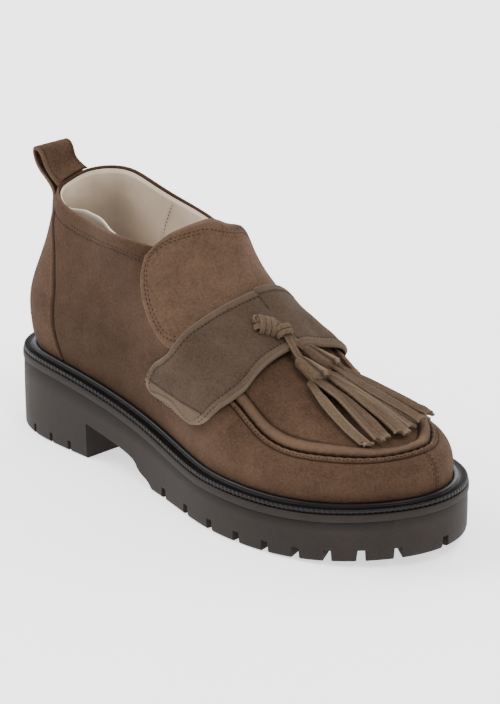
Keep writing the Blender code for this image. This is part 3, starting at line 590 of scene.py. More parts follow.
def sheet_parts(under, over, tone=None, start=0):
    """Points and faces of a closed sheet between two grids of the same size."""
    rows, columns = over.shape[:2]
    high = grid_quads(rows, columns, start)
    low = grid_quads(rows, columns, start + rows * columns)[:, ::-1]
    index = start + np.arange(rows * columns).reshape(rows, columns)
    border = np.concatenate([index[:, 0], index[-1, 1:], index[-2::-1, -1], index[0, -2:0:-1]])
    after = np.roll(border, -1)
    shift = rows * columns
    sides = np.stack([border, after, after + shift, border + shift], -1)
    points = np.concatenate([over.reshape(-1, 3), under.reshape(-1, 3)])
    tones = np.full(over.shape[:2], 0.5) if tone is None else tone
    return points, np.concatenate([high, low, sides]), np.concatenate([tones.ravel(), tones.ravel()])


def joined(blocks):
    """One set of points, faces and tones from several."""
    points, faces, tones, start = [], [], [], 0
    for block_points, block_faces, block_tones in blocks:
        points.append(block_points)
        faces += [[int(corner) + start for corner in face] for face in block_faces]
        tones.append(block_tones)
        start += len(block_points)
    return np.concatenate(points), faces, np.concatenate(tones)


def tree_of(points, faces):
    return BVHTree.FromPolygons(np.asarray(points).tolist(), np.asarray(faces).tolist())


def edge_distances(points):
    """Distance of each grid point from the first row, last row, first column and last column."""
    rows, columns = rise_along(points), rise_along(points.swapaxes(0, 1)).T
    return rows, rows[-1:] - rows, columns, columns[:, -1:] - columns


def blurred(field, times):
    """A grid of values, smoothed along both axes."""
    for _ in range(times):
        for axis in (0, 1):
            padded = np.pad(field, [(1, 1) if k == axis else (0, 0) for k in (0, 1)], mode="edge")
            before = padded[:-2] if axis == 0 else padded[:, :-2]
            after = padded[2:] if axis == 0 else padded[:, 2:]
            field = (before + 2 * field + after) / 4
    return field


def drape(points, trees, spread, even_rows=0):
    """Lift a grid off the surfaces below it in one smooth swell, evened out over some rows at both ends."""
    normals = grid_normals(points)
    high = np.zeros(points.shape[:2])
    for index in np.ndindex(high.shape):
        origin = Vector(points[index] + normals[index] * DRAPE_START)
        for tree in trees:
            spot, _, _, distance = tree.ray_cast(origin, Vector(-normals[index]), DRAPE_START)
            if spot is not None:
                high[index] = max(high[index], DRAPE_START - distance)
    rows, columns = high.shape
    for _ in range(spread):
        padded = np.pad(high, 1, mode="edge")
        high = np.max([padded[i:i + rows, j:j + columns] for i in range(3) for j in range(3)], axis=0)
    lift = blurred(high, 7 * spread)
    across = np.linspace(-1, 1, columns)
    for end in (lift, lift[::-1]):
        for row in range(even_rows):
            slope, middle = np.polyfit(across, end[row], 1)
            share = 1 - ease(0.6 * even_rows, even_rows, row)
            end[row] += share * (middle + slope * across - end[row])
    return points + normals * (lift + GAP)[..., None]


def resampled(points, pitch):
    """Points at equal steps of about one pitch along a polyline, with the direction there."""
    run = run_along(points[:, :3])
    count = max(int(run[-1] / pitch), 2)
    at = (np.arange(count) + 0.5) * run[-1] / count
    spots = np.stack([np.interp(at, run, values) for values in points.T], -1)
    nearby = np.minimum(at + pitch / 4, run[-1])
    ahead = np.stack([np.interp(nearby, run, values) for values in points.T[:3]], -1)
    return spots, unit(ahead - spots[:, :3])


def stitch_block(line, normals, length=0.58 * STITCH, pitch=STITCH, radius=THREAD / 2, sink=0.1, lean=0.0):
    """Blunt stitches along a line on a surface, each turned from the line by the lean."""
    spots, ahead = resampled(np.concatenate([line, normals], 1), pitch)
    normal = unit(spots[:, 3:])
    spots = spots[:, :3]
    side = unit(np.cross(normal, ahead))
    ahead, side = ahead * np.cos(lean) + side * np.sin(lean), side * np.cos(lean) - ahead * np.sin(lean)
    ring = np.linspace(0, TURN, 6, endpoint=False)
    rows = []
    for share, swell, rise in STITCH_STATIONS:
        centre = spots + ahead * share * length + normal * radius * (rise - sink)
        rows.append(centre[:, None] + radius * swell * circles(side, normal, ring))
    points = np.stack(rows, 1).reshape(-1, 3)
    sides, each = len(ring), len(rows) * len(ring)
    one = grid_quads(len(rows), sides, 0, True).tolist()
    one += [list(range(sides))[::-1], list(range(each - sides, each))]
    faces = [[corner + k * each for corner in face] for k in range(len(spots)) for face in one]
    return points, faces, np.full(len(points), 0.5)


def add_stitches(name, lines, **sizes):
    """One piece of stitches along several lines, each with the surface's normals."""
    points, faces, tones = joined([stitch_block(*line, **sizes) for line in lines])
    return add_piece(name, points, faces, DARK_THREAD, tones)


def read_at(value, measure, points, normals):
    """Point and normal on a line of points where a measure reaches a value."""
    order = np.argsort(measure)
    measure = measure[order]
    return [[np.interp(value, measure, field[order, k]) for k in range(3)] for field in (points, normals)]


def grid_line(over, distance, inset, axis, rows=slice(None)):
    """Line on a grid this far from one of its borders; axis 1 runs from row to row, axis 0 along a row."""
    fields = [distance, over, grid_normals(over)]
    if axis == 0:
        fields = [field.swapaxes(0, 1) for field in fields]
    read = [read_at(inset, *line) for line in zip(*(field[rows] for field in fields))]
    line, facing = np.array(read).swapaxes(0, 1)
    return line, unit(facing)


# Materials


class Shader:
    """Node material with short calls for what these materials use."""

    def __init__(self, name):
        self.material = bpy.data.materials.new(name)
        self.material.use_nodes = True
        self.tree = self.material.node_tree
        self.principled = self.tree.nodes["Principled BSDF"]
        self.place = self.node("ShaderNodeTexCoord").outputs["Object"]

    def node(self, kind, **values):
        node = self.tree.nodes.new(kind)
        for key, value in values.items():
            setattr(node, key, value)
        return node

    def feed(self, socket, value):
        if isinstance(value, bpy.types.NodeSocket):
            self.tree.links.new(value, socket)
        else:
            socket.default_value = value

    def noise(self, scale, detail=3.0, roughness=0.55, stretch=None):
        node = self.node("ShaderNodeTexNoise")
        place = self.place
        if stretch:
            mapping = self.node("ShaderNodeMapping")
            self.feed(mapping.inputs["Vector"], place)
            mapping.inputs["Scale"].default_value = stretch
            place = mapping.outputs["Vector"]
        self.feed(node.inputs["Vector"], place)
        node.inputs["Scale"].default_value = scale
        node.inputs["Detail"].default_value = detail
        node.inputs["Roughness"].default_value = roughness
        return node.outputs["Fac"]

    def spread(self, value, low, high, to_low=0.0, to_high=1.0):
        node = self.node("ShaderNodeMapRange")
        keys = ("Value", "From Min", "From Max", "To Min", "To Max")
        for key, entry in zip(keys, (value, low, high, to_low, to_high)):
            self.feed(node.inputs[key], entry)
        return node.outputs["Result"]

    def blend(self, amount, first, second, kind="MIX"):
        node = self.node("ShaderNodeMix", data_type="RGBA", blend_type=kind)
        self.feed(node.inputs[0], amount)
        self.feed(node.inputs[6], first if isinstance(first, bpy.types.NodeSocket) else (*first, 1))
        self.feed(node.inputs[7], second if isinstance(second, bpy.types.NodeSocket) else (*second, 1))
        return node.outputs[2]

    def sum(self, first, second, kind="ADD"):
        node = self.node("ShaderNodeMath", operation=kind)
        self.feed(node.inputs[0], first)
        self.feed(node.inputs[1], second)
        return node.outputs[0]

    def weighted(self, *parts):
        """Sum of several textures, each times its weight."""
        total = None
        for value, weight in parts:
            part = self.sum(value, weight, "MULTIPLY")
            total = part if total is None else self.sum(total, part)
        return total

    def toned(self, colour, shadow, light, most=1.0):
        """A colour drawn towards a shadow or a light by the tone of each point."""
        tone = self.node("ShaderNodeAttribute", attribute_name="tone").outputs["Fac"]
        colour = self.blend(self.spread(tone, 0.5, 0.0), colour, shadow)
        return self.blend(self.spread(tone, 0.5, 1.0, 0.0, most), colour, light)

    def bump(self, height, strength, distance, under=None):
        node = self.node("ShaderNodeBump")
        node.inputs["Strength"].default_value = strength
        node.inputs["Distance"].default_value = distance
        self.feed(node.inputs["Height"], height)
        if under is not None:
            self.feed(node.inputs["Normal"], under)
        return node.outputs["Normal"]

    def finish(self, **values):
        for key, value in values.items():
            self.feed(self.principled.inputs[key.replace("_", " ")], value)
        return self.material


def napped(name, dark, light, worn_and_lit, nap=1.0):
    """Suede or nubuck: mottled nap in three sizes, drawn by each point's tone towards painted shade in seams
    and grooves, and towards a lighter colour for edges lightened by wear and for painted highlights on
    ridges and lit sides.
    """
    shade = Shader(name)
    cloud = shade.noise(22, 3, 0.6)
    patch = shade.noise(120, 4, 0.7)
    grain = shade.noise(850, 3, 0.7)
    mottle = shade.weighted((cloud, 0.32), (patch, 0.24), (grain, 0.44))
    colour = shade.blend(shade.spread(mottle, 0.36, 0.64), dark, light)
    # Painted shade and painted light: the tone darkens seams and grooves and lightens ridges, lit sides and
    # edges lightened by wear.
    colour = shade.toned(colour, tuple(0.25 * part for part in dark), worn_and_lit)
    normal = shade.bump(patch, 0.35, 1.2 * MM)
    normal = shade.bump(grain, 0.55 * nap, 0.7 * MM, normal)
    normal = shade.bump(shade.noise(2400, 3, 0.7), 0.45 * nap, 0.3 * MM, normal)
    return shade.finish(
        Base_Color=colour, Roughness=0.95, Normal=normal, Specular_IOR_Level=0.10,
        Sheen_Weight=0.22, Sheen_Roughness=0.5, Sheen_Tint=(*worn_and_lit, 1),
    )


def lining_leather(name, dark, light):
    """Smooth leather with a fine pebble and soft waves."""
    shade = Shader(name)
    cloud = shade.noise(35, 4, 0.6)
    pebble = shade.node("ShaderNodeTexVoronoi")
    shade.feed(pebble.inputs["Vector"], shade.place)
    pebble.inputs["Scale"].default_value = 1400
    colour = shade.blend(shade.spread(cloud, 0.35, 0.65), dark, light)
    # Painted shade and painted light, drawn by each point's tone towards a darker colour and LINING_LIGHT.
    colour = shade.toned(colour, tuple(0.3 * part for part in dark), LINING_LIGHT)
    normal = shade.bump(pebble.outputs["Distance"], 0.25, 0.15 * MM)
    normal = shade.bump(shade.noise(120, 3, 0.5), 0.25, 0.6 * MM, normal)
    rough = shade.spread(cloud, 0.3, 0.7, 0.55, 0.7)
    return shade.finish(Base_Color=colour, Roughness=rough, Normal=normal, Specular_IOR_Level=0.35)


def rubber(name, dark, light, rough, bump=0.3, coat=0.0, gloss=0.18):
    """Moulded rubber: faint clouds and specks, a little gloss."""
    shade = Shader(name)
    cloud = shade.noise(45, 4, 0.6)
    speck = shade.noise(1500, 2, 0.6)
    mottle = shade.weighted((cloud, 0.7), (speck, 0.3))
    colour = shade.blend(shade.spread(mottle, 0.38, 0.62), dark, light)
    # Painted shade and painted light, by each point's tone.
    lit = tuple(2.2 * part for part in light)
    colour = shade.toned(colour, tuple(0.25 * part for part in dark), lit, 0.7)
    normal = shade.bump(speck, bump, 0.2 * MM)
    normal = shade.bump(shade.noise(200, 3, 0.5), 0.12, 0.5 * MM, normal)
    roughness = shade.spread(cloud, 0.3, 0.7, rough - 0.06, rough + 0.06)
    return shade.finish(
        Base_Color=colour, Roughness=roughness, Normal=normal, Specular_IOR_Level=gloss,
        Coat_Weight=coat, Coat_Roughness=0.35,
    )


def thread_material(name, dark, light):
    shade = Shader(name)
    twist = shade.noise(3000, 1, 0.5)
    colour = shade.blend(shade.spread(twist, 0.4, 0.6), dark, light)
    normal = shade.bump(twist, 0.4, 0.1 * MM)
    return shade.finish(Base_Color=colour, Roughness=0.9, Normal=normal, Specular_IOR_Level=0.1)


LINING_LIGHT = (0.80, 0.66, 0.52)
BROWN = napped("suede_brown", (0.038, 0.020, 0.0118), (0.088, 0.051, 0.0315), (0.155, 0.100, 0.066))
TONGUE_BROWN = napped("suede_tongue", (0.052, 0.029, 0.018), (0.120, 0.073, 0.047), (0.170, 0.112, 0.076))
OLIVE = napped("nubuck_olive", (0.036, 0.0235, 0.0158), (0.070, 0.048, 0.033), (0.130, 0.095, 0.067), 0.7)
FRINGE = napped("suede_fringe", (0.058, 0.0365, 0.023), (0.112, 0.074, 0.048), (0.185, 0.132, 0.092))
BEIGE = lining_leather("lining_beige", (0.58, 0.465, 0.350), (0.72, 0.590, 0.460))
CREAM = lining_leather("edge_cream", (0.56, 0.44, 0.33), (0.68, 0.55, 0.42))
TAUPE = rubber("rubber_taupe", (0.0150, 0.0112, 0.0092), (0.0235, 0.0182, 0.0152), 0.72)
BLACK = rubber("rubber_black", (0.0030, 0.0022, 0.0022), (0.0056, 0.0043, 0.0043), 0.46, 0.15, 0.06, 0.18)
DARK_THREAD = thread_material("thread_dark", (0.010, 0.006, 0.004), (0.026, 0.016, 0.011))


# Upper


def upper_rows():
    """Levels of the upper's outer face, close together about the moccasin seam."""
    low = np.linspace(0, 0.36, 30, endpoint=False)
    seam = np.linspace(0.36, 0.54, 58, endpoint=False)
    high = np.linspace(0.54, 1.0, 44)
    return np.concatenate([low, seam, high])


def upper_turns(levels):
    """Turns of the upper's columns at each level: the columns near the counter's seam follow it."""
    half = UPPER_COLUMNS // 2
    base = np.linspace(0, np.pi, half + 1)
    pull = 0.55 * bell(base, COUNTER_TURN, 0.10)
    base = base - 0.35 * pull * (base - COUNTER_TURN)
    seam = angle_of(spline(*np.array(COUNTER).T, levels))
    hat = np.interp(base, [0, COUNTER_TURN, COUNTER_RELEASE, np.pi], [0, 1, 0, 0])
    turn = base[None, :] + (seam[:, None] - COUNTER_TURN) * hat[None, :]
    return np.concatenate([turn, TURN - turn[:, -2:0:-1]], 1), base


def crease_relief(points, turn):
    """Soft troughs of the creases, by distance on the surface."""
    depth = np.zeros(turn.shape)
    for share, height, heading, length, width, deep, side in CREASES:
        at = angle_of(share) if side > 0 else TURN - angle_of(share)
        spot = form(np.array(at), np.array(height))
        tangent = unit(form(np.array(at + 0.01), np.array(height)) - spot)
        rise = unit(form(np.array(at), np.array(height + 0.01)) - spot)
        line = np.cos(np.radians(heading)) * tangent + np.sin(np.radians(heading)) * rise
        normal = np.cross(tangent, rise)
        cross = np.cross(normal, line)
        away = points - spot
        along, beside = away @ line / (length * MM), away @ cross / (width * MM)
        off = away @ normal / (12 * MM)
        beside = beside + 0.35 * along**2
        trough = np.exp(-(2 * along) ** 2 - (2 * beside) ** 2 - off**2)
        swell = np.exp(-(2 * along) ** 2 - (2 * (beside - 1.0)) ** 2 - off**2)
        depth += deep * MM * (0.6 * swell - trough)
    return depth


def moc_distance(rows, level):
    """Distance of each grid point above the line of the moccasin seam."""
    line = [np.interp(MOC_LEVEL, level[:, j], rows[:, j]) for j in range(level.shape[1])]
    return rows - np.array(line)[None]


def upper_relief(turn, level, base, points):
    """Height over the form, and tone with painted shade in grooves, seams and on the quarter and painted
    light on ridges and the counter: counter, moccasin seam, split toe, collar fold, creases.
    """
    share = along_of(turn)
    rows = rise_along(points)
    moc = moc_distance(rows, level) / MM
    round_run = np.cumsum(np.linalg.norm(np.diff(points, axis=1, prepend=points[:, :1]), axis=-1), 1) / MM
    fore = ease(0.60, 0.66, share)
    wide = RIDGE_WIDTH / MM
    outline = MOC_STITCHES[1] / MM
    pucker = np.cos(TURN * round_run / PUCKER_PITCH)
    roll = np.sqrt(np.clip(1 - ((moc - 0.2 - wide / 2) / (wide / 2)) ** 2, 0, 1))
    lip = np.sqrt(np.clip(1 - ((moc + 1.9) / 1.5) ** 2, 0, 1))
    relief = fore * (RIDGE_HEIGHT * roll**0.6 + MM * (0.95 + 0.16 * pucker) * lip)
    seam = -0.2 + 0.15 * pucker
    furrows = 0.9 * bell(moc, seam, 0.40) + 0.35 * bell(moc, wide + 0.6, 0.5)
    furrows += 0.30 * bell(moc, outline, 0.3)
    shadows = 0.50 * bell(moc, seam, 0.65) + 0.48 * bell(moc, wide + 0.4, 0.55)
    shadows += 0.36 * bell(moc, outline, 0.40)
    relief -= fore * MM * furrows
    # Tone: painted highlights on the ridge's roll and lip, painted shade in the seam and the furrows beside
    # it.
    tone = 0.5 + fore * (0.18 * roll**3 + 0.12 * lip**3 - shadows)

    seam_gap = (np.minimum(base, TURN - base) - COUNTER_TURN) * SOLE_LENGTH / 2 * np.sin(COUNTER_TURN) / MM
    up = 1 - ease(0.86, 0.96, level)
    counter = 1 - ease(-0.2, 0.5, seam_gap)
    crack = bell(seam_gap, 0.8, 0.75) * up
    relief += COUNTER_STEP * counter * ease(0.03, 0.08, level) * up - 0.55 * MM * crack
    # Painted light on the counter, which is lit more than the quarter, and painted shade in the crack of its
    # seam.
    tone += (0.14 * bell(seam_gap, -0.6, 0.8) + 0.10 * counter) * up - 0.44 * crack
    # Painted shade over the quarter, the back half of each side, and a little darker below level 0.4.
    tone -= 0.17 * (1 - ease(0.34, 0.54, share)) + 0.05 * (1 - ease(0.38, 0.43, level))

    split = bell(np.abs(turn - np.pi) * 40, 0, 0.4) * ease(0.02, 0.1, level) * (1 - ease(0.36, 0.40, level))
    relief -= 0.35 * MM * split
    # Painted shade in the split toe's seam.
    tone -= 0.22 * split

    top = (rows[-1:] - rows) / MM
    fold = COLLAR_STITCHES[0] / MM
    open_part = 1 - ease(0.46, 0.52, share)
    relief += MM * open_part * (0.40 * bell(top, 3.5, 3.4) - 0.25 * bell(top, fold, 0.6))
    # Lighter right at the collar's top edge; painted shade in the line of the fold.
    tone += open_part * (0.14 * bell(top, 0, 0.9) - 0.10 * bell(top, fold, 0.5))
    # Painted shade along the foot of the upper, just above the welt.
    tone -= 0.30 * bell(rows / MM, 3.4, 0.9)
    return relief + crease_relief(points, turn), np.clip(tone, 0, 1)


def make_upper():
    """Suede shell with its rim and inner face, and the surface that later pieces settle on."""
    levels = upper_rows()
    turn, half_base = upper_turns(levels)
    base = np.concatenate([half_base, TURN - half_base[-2:0:-1]])[None, :]
    level = np.broadcast_to(levels[:, None], turn.shape)
    relief, tone = upper_relief(turn, level, base, form(turn, level))
    outer = off_form(turn, level, relief)
    count, last = turn.shape[1], len(levels) - 1
    shut = along_of(turn[-1]) >= UPPER_OPEN[1]
    normal = form_normal(turn[-1], level[-1])
    rise = unit(outer[-1] - outer[-2])
    rim = []
    for sweep in np.linspace(0, np.pi, 7)[1:]:
        turned = outer[-1] + SUEDE / 2 * (rise * np.sin(sweep) - normal * (1 - np.cos(sweep)))
        rim.append(np.where(shut[:, None], outer[-1], turned))
    inner_turn = np.array([upper_turns(np.array([value]))[0][0] for value in INNER_LEVELS])
    inner = off_form(inner_turn, INNER_LEVELS[:, None], np.full(inner_turn.shape, -SUEDE))
    inner_top = np.where(shut[:, None], off_form(turn[-1], level[-1], np.full(count, -SUEDE)), rim[-1])
    rings = np.concatenate([outer, np.array(rim[:-1]), inner_top[None], inner])
    points = rings.reshape(-1, 3)
    inside = last + len(rim)
    index = np.arange(len(points)).reshape(-1, count)
    close_seam(points, (index[last], index[inside]), shut)
    faces = without_rim(grid_quads(len(rings), count, 0, True), count, last, inside, shut)
    tones = np.full(index.shape, 0.5)
    tones[:last + 1] = tone
    tones[last + 1:last + 4] = 0.62
    faces = np.concatenate([faces, closing_quads(index)])
    add_piece("upper_suede", points, faces, BROWN, tones, "upper")
    return tree_of(outer.reshape(-1, 3), grid_quads(len(levels), count, 0, True)), (turn, level, outer)


def lining_gape(turn):
    """Share by which the lining's top edge comes away from the suede on the lateral side of the collar."""
    share = along_of(turn)
    return ease(0.11, 0.20, share) * (1 - ease(0.23, 0.37, share)) * (np.sin(turn) > 0)


def lining_seam(level):
    """Turn of the lining's slanting seam, on the medial side, at a level."""
    return TURN - angle_of(LINING_SEAM[0] - LINING_SEAM[1] * (1 - level))


def make_lining():
    """Thin leather shell inside the upper, with its slanting seam, and the cream cord along its rim."""
    levels = np.linspace(0.02, 1.0, 60)
    turn = np.linspace(0, TURN, 640, endpoint=False)
    turns = np.broadcast_to(turn[None], (len(levels), len(turn)))
    level = np.broadcast_to(levels[:, None], turns.shape)
    gape, share = lining_gape(turns), along_of(turns)
    stand = LINING_GAPE * gape * ease(0.74, 1.0, level) ** 1.3
    lift = LINING_RISE * gape * ease(0.70, 1.0, level) - LINING_DROP * (1 - gape) * ease(0.80, 1.0, level)
    seam_turn = lining_seam(level)
    seam = bell((turns - seam_turn) * SOLE_LENGTH / 2 * np.sin(seam_turn) / MM, 0, 0.6)
    seam = seam * ease(0.30, 0.40, level)
    ripple = 0.12 * MM * np.sin(26 * turns + 5 * level) * ease(0.3, 0.6, level) * (1 - ease(0.9, 1.0, level))
    ripple += 0.35 * MM * np.sin(9 * turns - 8 * level) * (1 - ease(0.8, 1.0, level))
    outside = off_form(turns, level, -(SUEDE + 0.1 * MM) - stand)
    inside = off_form(turns, level, -(SUEDE + LINING + 0.4 * MM) - stand - 0.25 * MM * seam + ripple)
    for face in (inside, outside):
        face[..., 2] += lift
    top = (inside[-1] + outside[-1]) / 2 + unit(inside[-1] - inside[-2]) * 0.5 * MM
    rows = np.concatenate([inside, top[None], outside[::-1]])
    count, last = len(turn), len(levels) - 1
    shut = along_of(turn) >= UPPER_OPEN[1] - 0.01
    faces = without_rim(grid_quads(len(rows), count, 0, True), count, last, last + 2, shut)
    points = rows.reshape(-1, 3)
    index = np.arange(len(points)).reshape(-1, count)
    close_seam(points, (index[last], index[last + 2]), shut)
    # Painted shade along the seam, deep in the shoe, where the lining gapes and low round the heel; painted
    # light on the medial wall.
    shade = 0.34 * seam + 0.30 * bell(level, 0.15, 0.25) + 0.12 * gape * ease(0.7, 0.9, level)
    shade += 0.24 * (1 - ease(0.05, 0.22, share)) * (1 - ease(0.75, 1.0, level))
    tone = np.full(index.shape, 0.5)
    tone[:last + 1] += 0.26 * (np.sin(turns) < 0) * ease(0.10, 0.24, share) - shade
    # The lining's outer face, seen only in the gap behind the collar, is painted dark as shade.
    tone[last + 2:] = 0.0
    faces = np.concatenate([faces, closing_quads(index)])
    add_piece("upper_lining", points, faces, BEIGE, np.clip(tone, 0, 1), None)
    open_columns = np.flatnonzero(~shut)
    order = np.roll(open_columns, -int(np.flatnonzero(np.diff(open_columns) > 1)[0] + 1))
    add_cord("collar_edge", top[order][::2], RIM_CORD, CREAM)
    line_levels = np.linspace(0.45, 0.96, 60)
    seam_turns = lining_seam(line_levels) - 0.012
    line = off_form(seam_turns, line_levels, np.full(60, -(SUEDE + LINING + 0.45 * MM)))
    facing = -form_normal(seam_turns, line_levels)
    add_stitches("lining_stitches", [(line, facing)], pitch=2.2 * MM, length=0.8 * MM)


def add_cord(name, path, radius, material):
    """Round cord along a path, closed at both ends."""
    ahead = unit(np.gradient(path, axis=0))
    side = unit(np.cross(ahead, np.array([0.0, 0.0, 1.0]) + 1e-6))
    ring = np.linspace(0, TURN, 8, endpoint=False)
    circle = path[:, None] + radius * circles(side, np.cross(side, ahead), ring)
    faces = grid_quads(len(path), 8, 0, True).tolist()
    faces += [list(range(8)), list(range(8 * len(path) - 8, 8 * len(path)))]
    return add_piece(name, circle.reshape(-1, 3), faces, material, None, None)


# Tongue and strap


def rounded_edge(distance, radius):
    """Share of a sheet's thickness at this distance from its edge."""
    near = np.clip(1 - distance / radius, 0, 1)
    return 0.12 + 0.88 * np.sqrt(1 - near**2)


def make_tongue(upper_tree):
    """Flap over the instep, with a rounded top, a stitched border and painted shade along its medial edge.
    """
    mix = np.linspace(0, 1, 60)
    across = np.concatenate([mix / 2, 1 - mix[-2::-1] / 2])
    top = TONGUE_TOP + 0.030 * ease(0.34, 0.60, across) + 0.026 * ease(0.60, 1.0, across)
    top = top + 0.006 * ease(0.16, 0.0, across) - 0.009 * bell(across, 0.55, 0.18)
    run = np.linspace(0, 1, 96)[:, None]
    share = TONGUE_FRONT + (top - TONGUE_FRONT)[None] * run
    table = np.array(TONGUE_EDGE).T
    low = 0.5 * np.interp(share, *table) + 0.5 * spline(*table, share)
    weight = np.concatenate([mix, mix[-2::-1]])[None]
    turn = angle_of(share)
    turn = np.where(across[None] > 0.5, TURN - turn, turn)
    points = drape(form(turn, low * (1 - weight) + weight, TONGUE_RINGS), [upper_tree], TONGUE_SPREAD)
    first, last, left, right = edge_distances(points)
    border = np.minimum(np.minimum(left, right), last) / MM
    near, far = (inset / MM for inset in TONGUE_STITCHES)
    groove = bell(border, near, 0.45) + 0.8 * bell(border, far, 0.45) * (1 - ease(20, 60, last / MM))
    band = 1 - ease(4.6, 5.4, border)
    wave = 0.25 * np.sin(left / MM / 7.0 + 1.0) * np.sin(last / MM / 11.0) + 0.12 * np.sin(right / MM / 3.7)
    thick = TONGUE_THICKNESS * rounded_edge(np.minimum(border, first / MM), 1.6)
    thick = thick + MM * (0.15 * band - 0.20 * groove + 0.3 * wave * ease(1, 8, border))
    under, over = lay_plate(points, thick)
    medial = ease(0.5, 0.62, across)[None]
    # Tone: painted shade in the stitch grooves and along the medial edge, lighter right at the edge.
    tone = 0.5 - 0.12 * groove + 0.16 * bell(border, 0.6, 0.8) - 0.26 * (1 - ease(2.6, 4.6, border)) * medial
    points, faces, tones = sheet_parts(under, over, np.clip(tone, 0, 1))
    add_piece("tongue_flap", points, faces, TONGUE_BROWN, tones, "tongue")
    near, far = TONGUE_STITCHES
    lines = [grid_line(over, distance, near, 1, slice(10, 90)) for distance in (left, right)]
    lines.append(grid_line(over, left, far, 1, slice(36, 92)))
    lines.append(grid_line(over, last, near, 0, slice(7, -7)))
    lines.append(grid_line(over, last, far, 0, slice(7, 42)))
    add_stitches("tongue_stitches", lines)
    return tree_of(points, faces)


def strap_points(rows, columns):
    """Points under the strap: rows from the lateral end to the medial end."""
    table = np.array(STRAP_EDGE)[::-1]
    start = table[0, 0]
    levels = start + (1 - start) * np.linspace(0, 1, rows) ** 1.15
    run = (levels - start) / (STRAP_CORNER_LEVEL - start)
    inset = STRAP_CORNER / SOLE_LENGTH * (1 - np.sqrt(1 - np.clip(1 - run, 0, 1) ** 2))
    mix = np.linspace(0, 1, columns)
    level = np.broadcast_to(levels[:, None], (rows, columns))
    sides = []
    for column, turned in ((1, False), (3, True)):
        edges = []
        for k, way in ((column, 1), (column + 1, -1)):
            straight = np.interp(levels, table[:, 0], table[:, k])
            curved = spline(table[:, 0], table[:, k], levels)
            edges.append(0.3 * straight + 0.7 * curved + way * inset)
        turn = angle_of(edges[0][:, None] * (1 - mix) + edges[1][:, None] * mix)
        sides.append(form(TURN - turn if turned else turn, level))
    lateral, medial = sides
    return np.concatenate([lateral, medial[-2::-1]])


def make_strap(upper_tree, tongue_tree):
    """Saddle strap with a turned border, a line of stitches along it and two more at each end."""
    points = drape(strap_points(96, 54), [upper_tree, tongue_tree], STRAP_SPREAD, STRAP_END_ROWS)
    first, last, left, right = edge_distances(points)
    from_start, from_end = (np.broadcast_to(run.mean(1)[:, None], run.shape) for run in (first, last))
    border = np.minimum(np.minimum(left, right), np.minimum(first, last)) / MM
    ends = np.minimum(from_start, from_end) / MM
    seam, rim, tip_seam = (inset / MM for inset in STRAP_STITCHES)
    groove = bell(border, seam, 0.45) + 0.8 * bell(ends, tip_seam, 0.45) * (border > 4.2)
    groove = groove + 0.7 * bell(border, rim, 0.4) * (ends < 14)
    band = 1 - ease(3.9, 4.7, border)
    tip = 1 - ease(9.8, 10.6, ends)
    wave = 0.16 * np.sin(first / MM / 6.0) * np.sin(left / MM / 5.0 + 1)
    wave = wave + 0.10 * np.sin(left / MM / 2.3 + first / MM / 9)
    relief = 0.25 * band * ease(0.4, 1.4, border) + 0.14 * tip - 0.22 * groove + wave * ease(1, 6, border)
    under, over = lay_plate(points, STRAP_THICKNESS * rounded_edge(border, 1.3) + MM * relief)
    # Tone: painted shade in the stitch grooves; lighter along the turned border, over the band and at the
    # tips.
    tone = 0.5 - 0.15 * groove + 0.32 * bell(border, 0.5, 0.6) + 0.10 * band
    tone = tone + 0.22 * tip * (1 - bell(ends, tip_seam, 0.5))
    points, faces, tones = sheet_parts(under, over, np.clip(tone, 0, 1))
    add_piece("saddle_strap", points, faces, OLIVE, tones, "strap")
    seam, rim, tip_seam = STRAP_STITCHES
    sides = (left, right)
    lines = [grid_line(over, distance, seam, 1, slice(8, -8)) for distance in sides]
    near_ends = (slice(6, 22), slice(-22, -6))
    lines += [grid_line(over, distance, rim, 1, rows) for distance in sides for rows in near_ends]
    lines += [grid_line(over, distance, rim, 0, slice(7, -7)) for distance in (first, last)]
    lines += [grid_line(over, distance, tip_seam, 0, slice(5, -5)) for distance in (from_start, from_end)]
    add_stitches("strap_stitches", lines)
    return tree_of(points, faces)


def add_seam_stitches(upper):
    """Stitches on the upper: collar, moccasin seam and split toe."""
    turn, level, outer = upper
    normals = grid_normals(outer)
    rows = rise_along(outer)
    top = rows[-1:] - rows
    moc = moc_distance(rows, level)
    share = along_of(turn[-1])
    count = turn.shape[1]
    half = count // 2

    def line_at(measure, value, columns):
        read = [read_at(value, measure[:, j], outer[:, j], normals[:, j]) for j in columns]
        line, facing = np.array(read).swapaxes(0, 1)
        facing = unit(facing)
        away = ((line - outer.reshape(-1, 3).mean(0)) * facing).sum(-1).mean()
        return line, facing * np.sign(away)

    def columns_between(first, end, low, high):
        return [j for j in range(first, end) if low < share[j] < high]

    lateral = columns_between(1, half, 0.04, 0.425)
    medial = columns_between(half + 1, count, 0.04, 0.425)
    collar = [line_at(top, COLLAR_STITCHES[0], side) for side in (lateral, medial)]
    collar.append(line_at(top, COLLAR_STITCHES[1], columns_between(1, half, 0.17, 0.425)))
    add_stitches("collar_stitches", collar)
    fore = columns_between(0, count, 0.66, 2)
    whip, outline = (line_at(moc, distance, fore) for distance in MOC_STITCHES)
    thick = {"pitch": 2.3 * MM, "length": 2.0 * MM, "radius": 0.3 * MM, "sink": -1.0}
    add_stitches("moc_whip", [whip], lean=WHIP_LEAN, **thick)
    add_stitches("moc_outline", [outline], pitch=2.0 * MM, length=1.1 * MM)
    for name, beside, lean in (("left", -2, -WHIP_LEAN / 3), ("right", 2, WHIP_LEAN / 3)):
        j = half + beside
        keep = (level[:, j] > 0.06) & (level[:, j] < 0.33)
        facing = normals[keep, j] * np.sign(normals[keep, j, 0].mean())
        line = (outer[keep, j], facing)
        add_stitches("split_toe_" + name, [line], pitch=2.2 * MM, length=1.2 * MM, lean=lean)


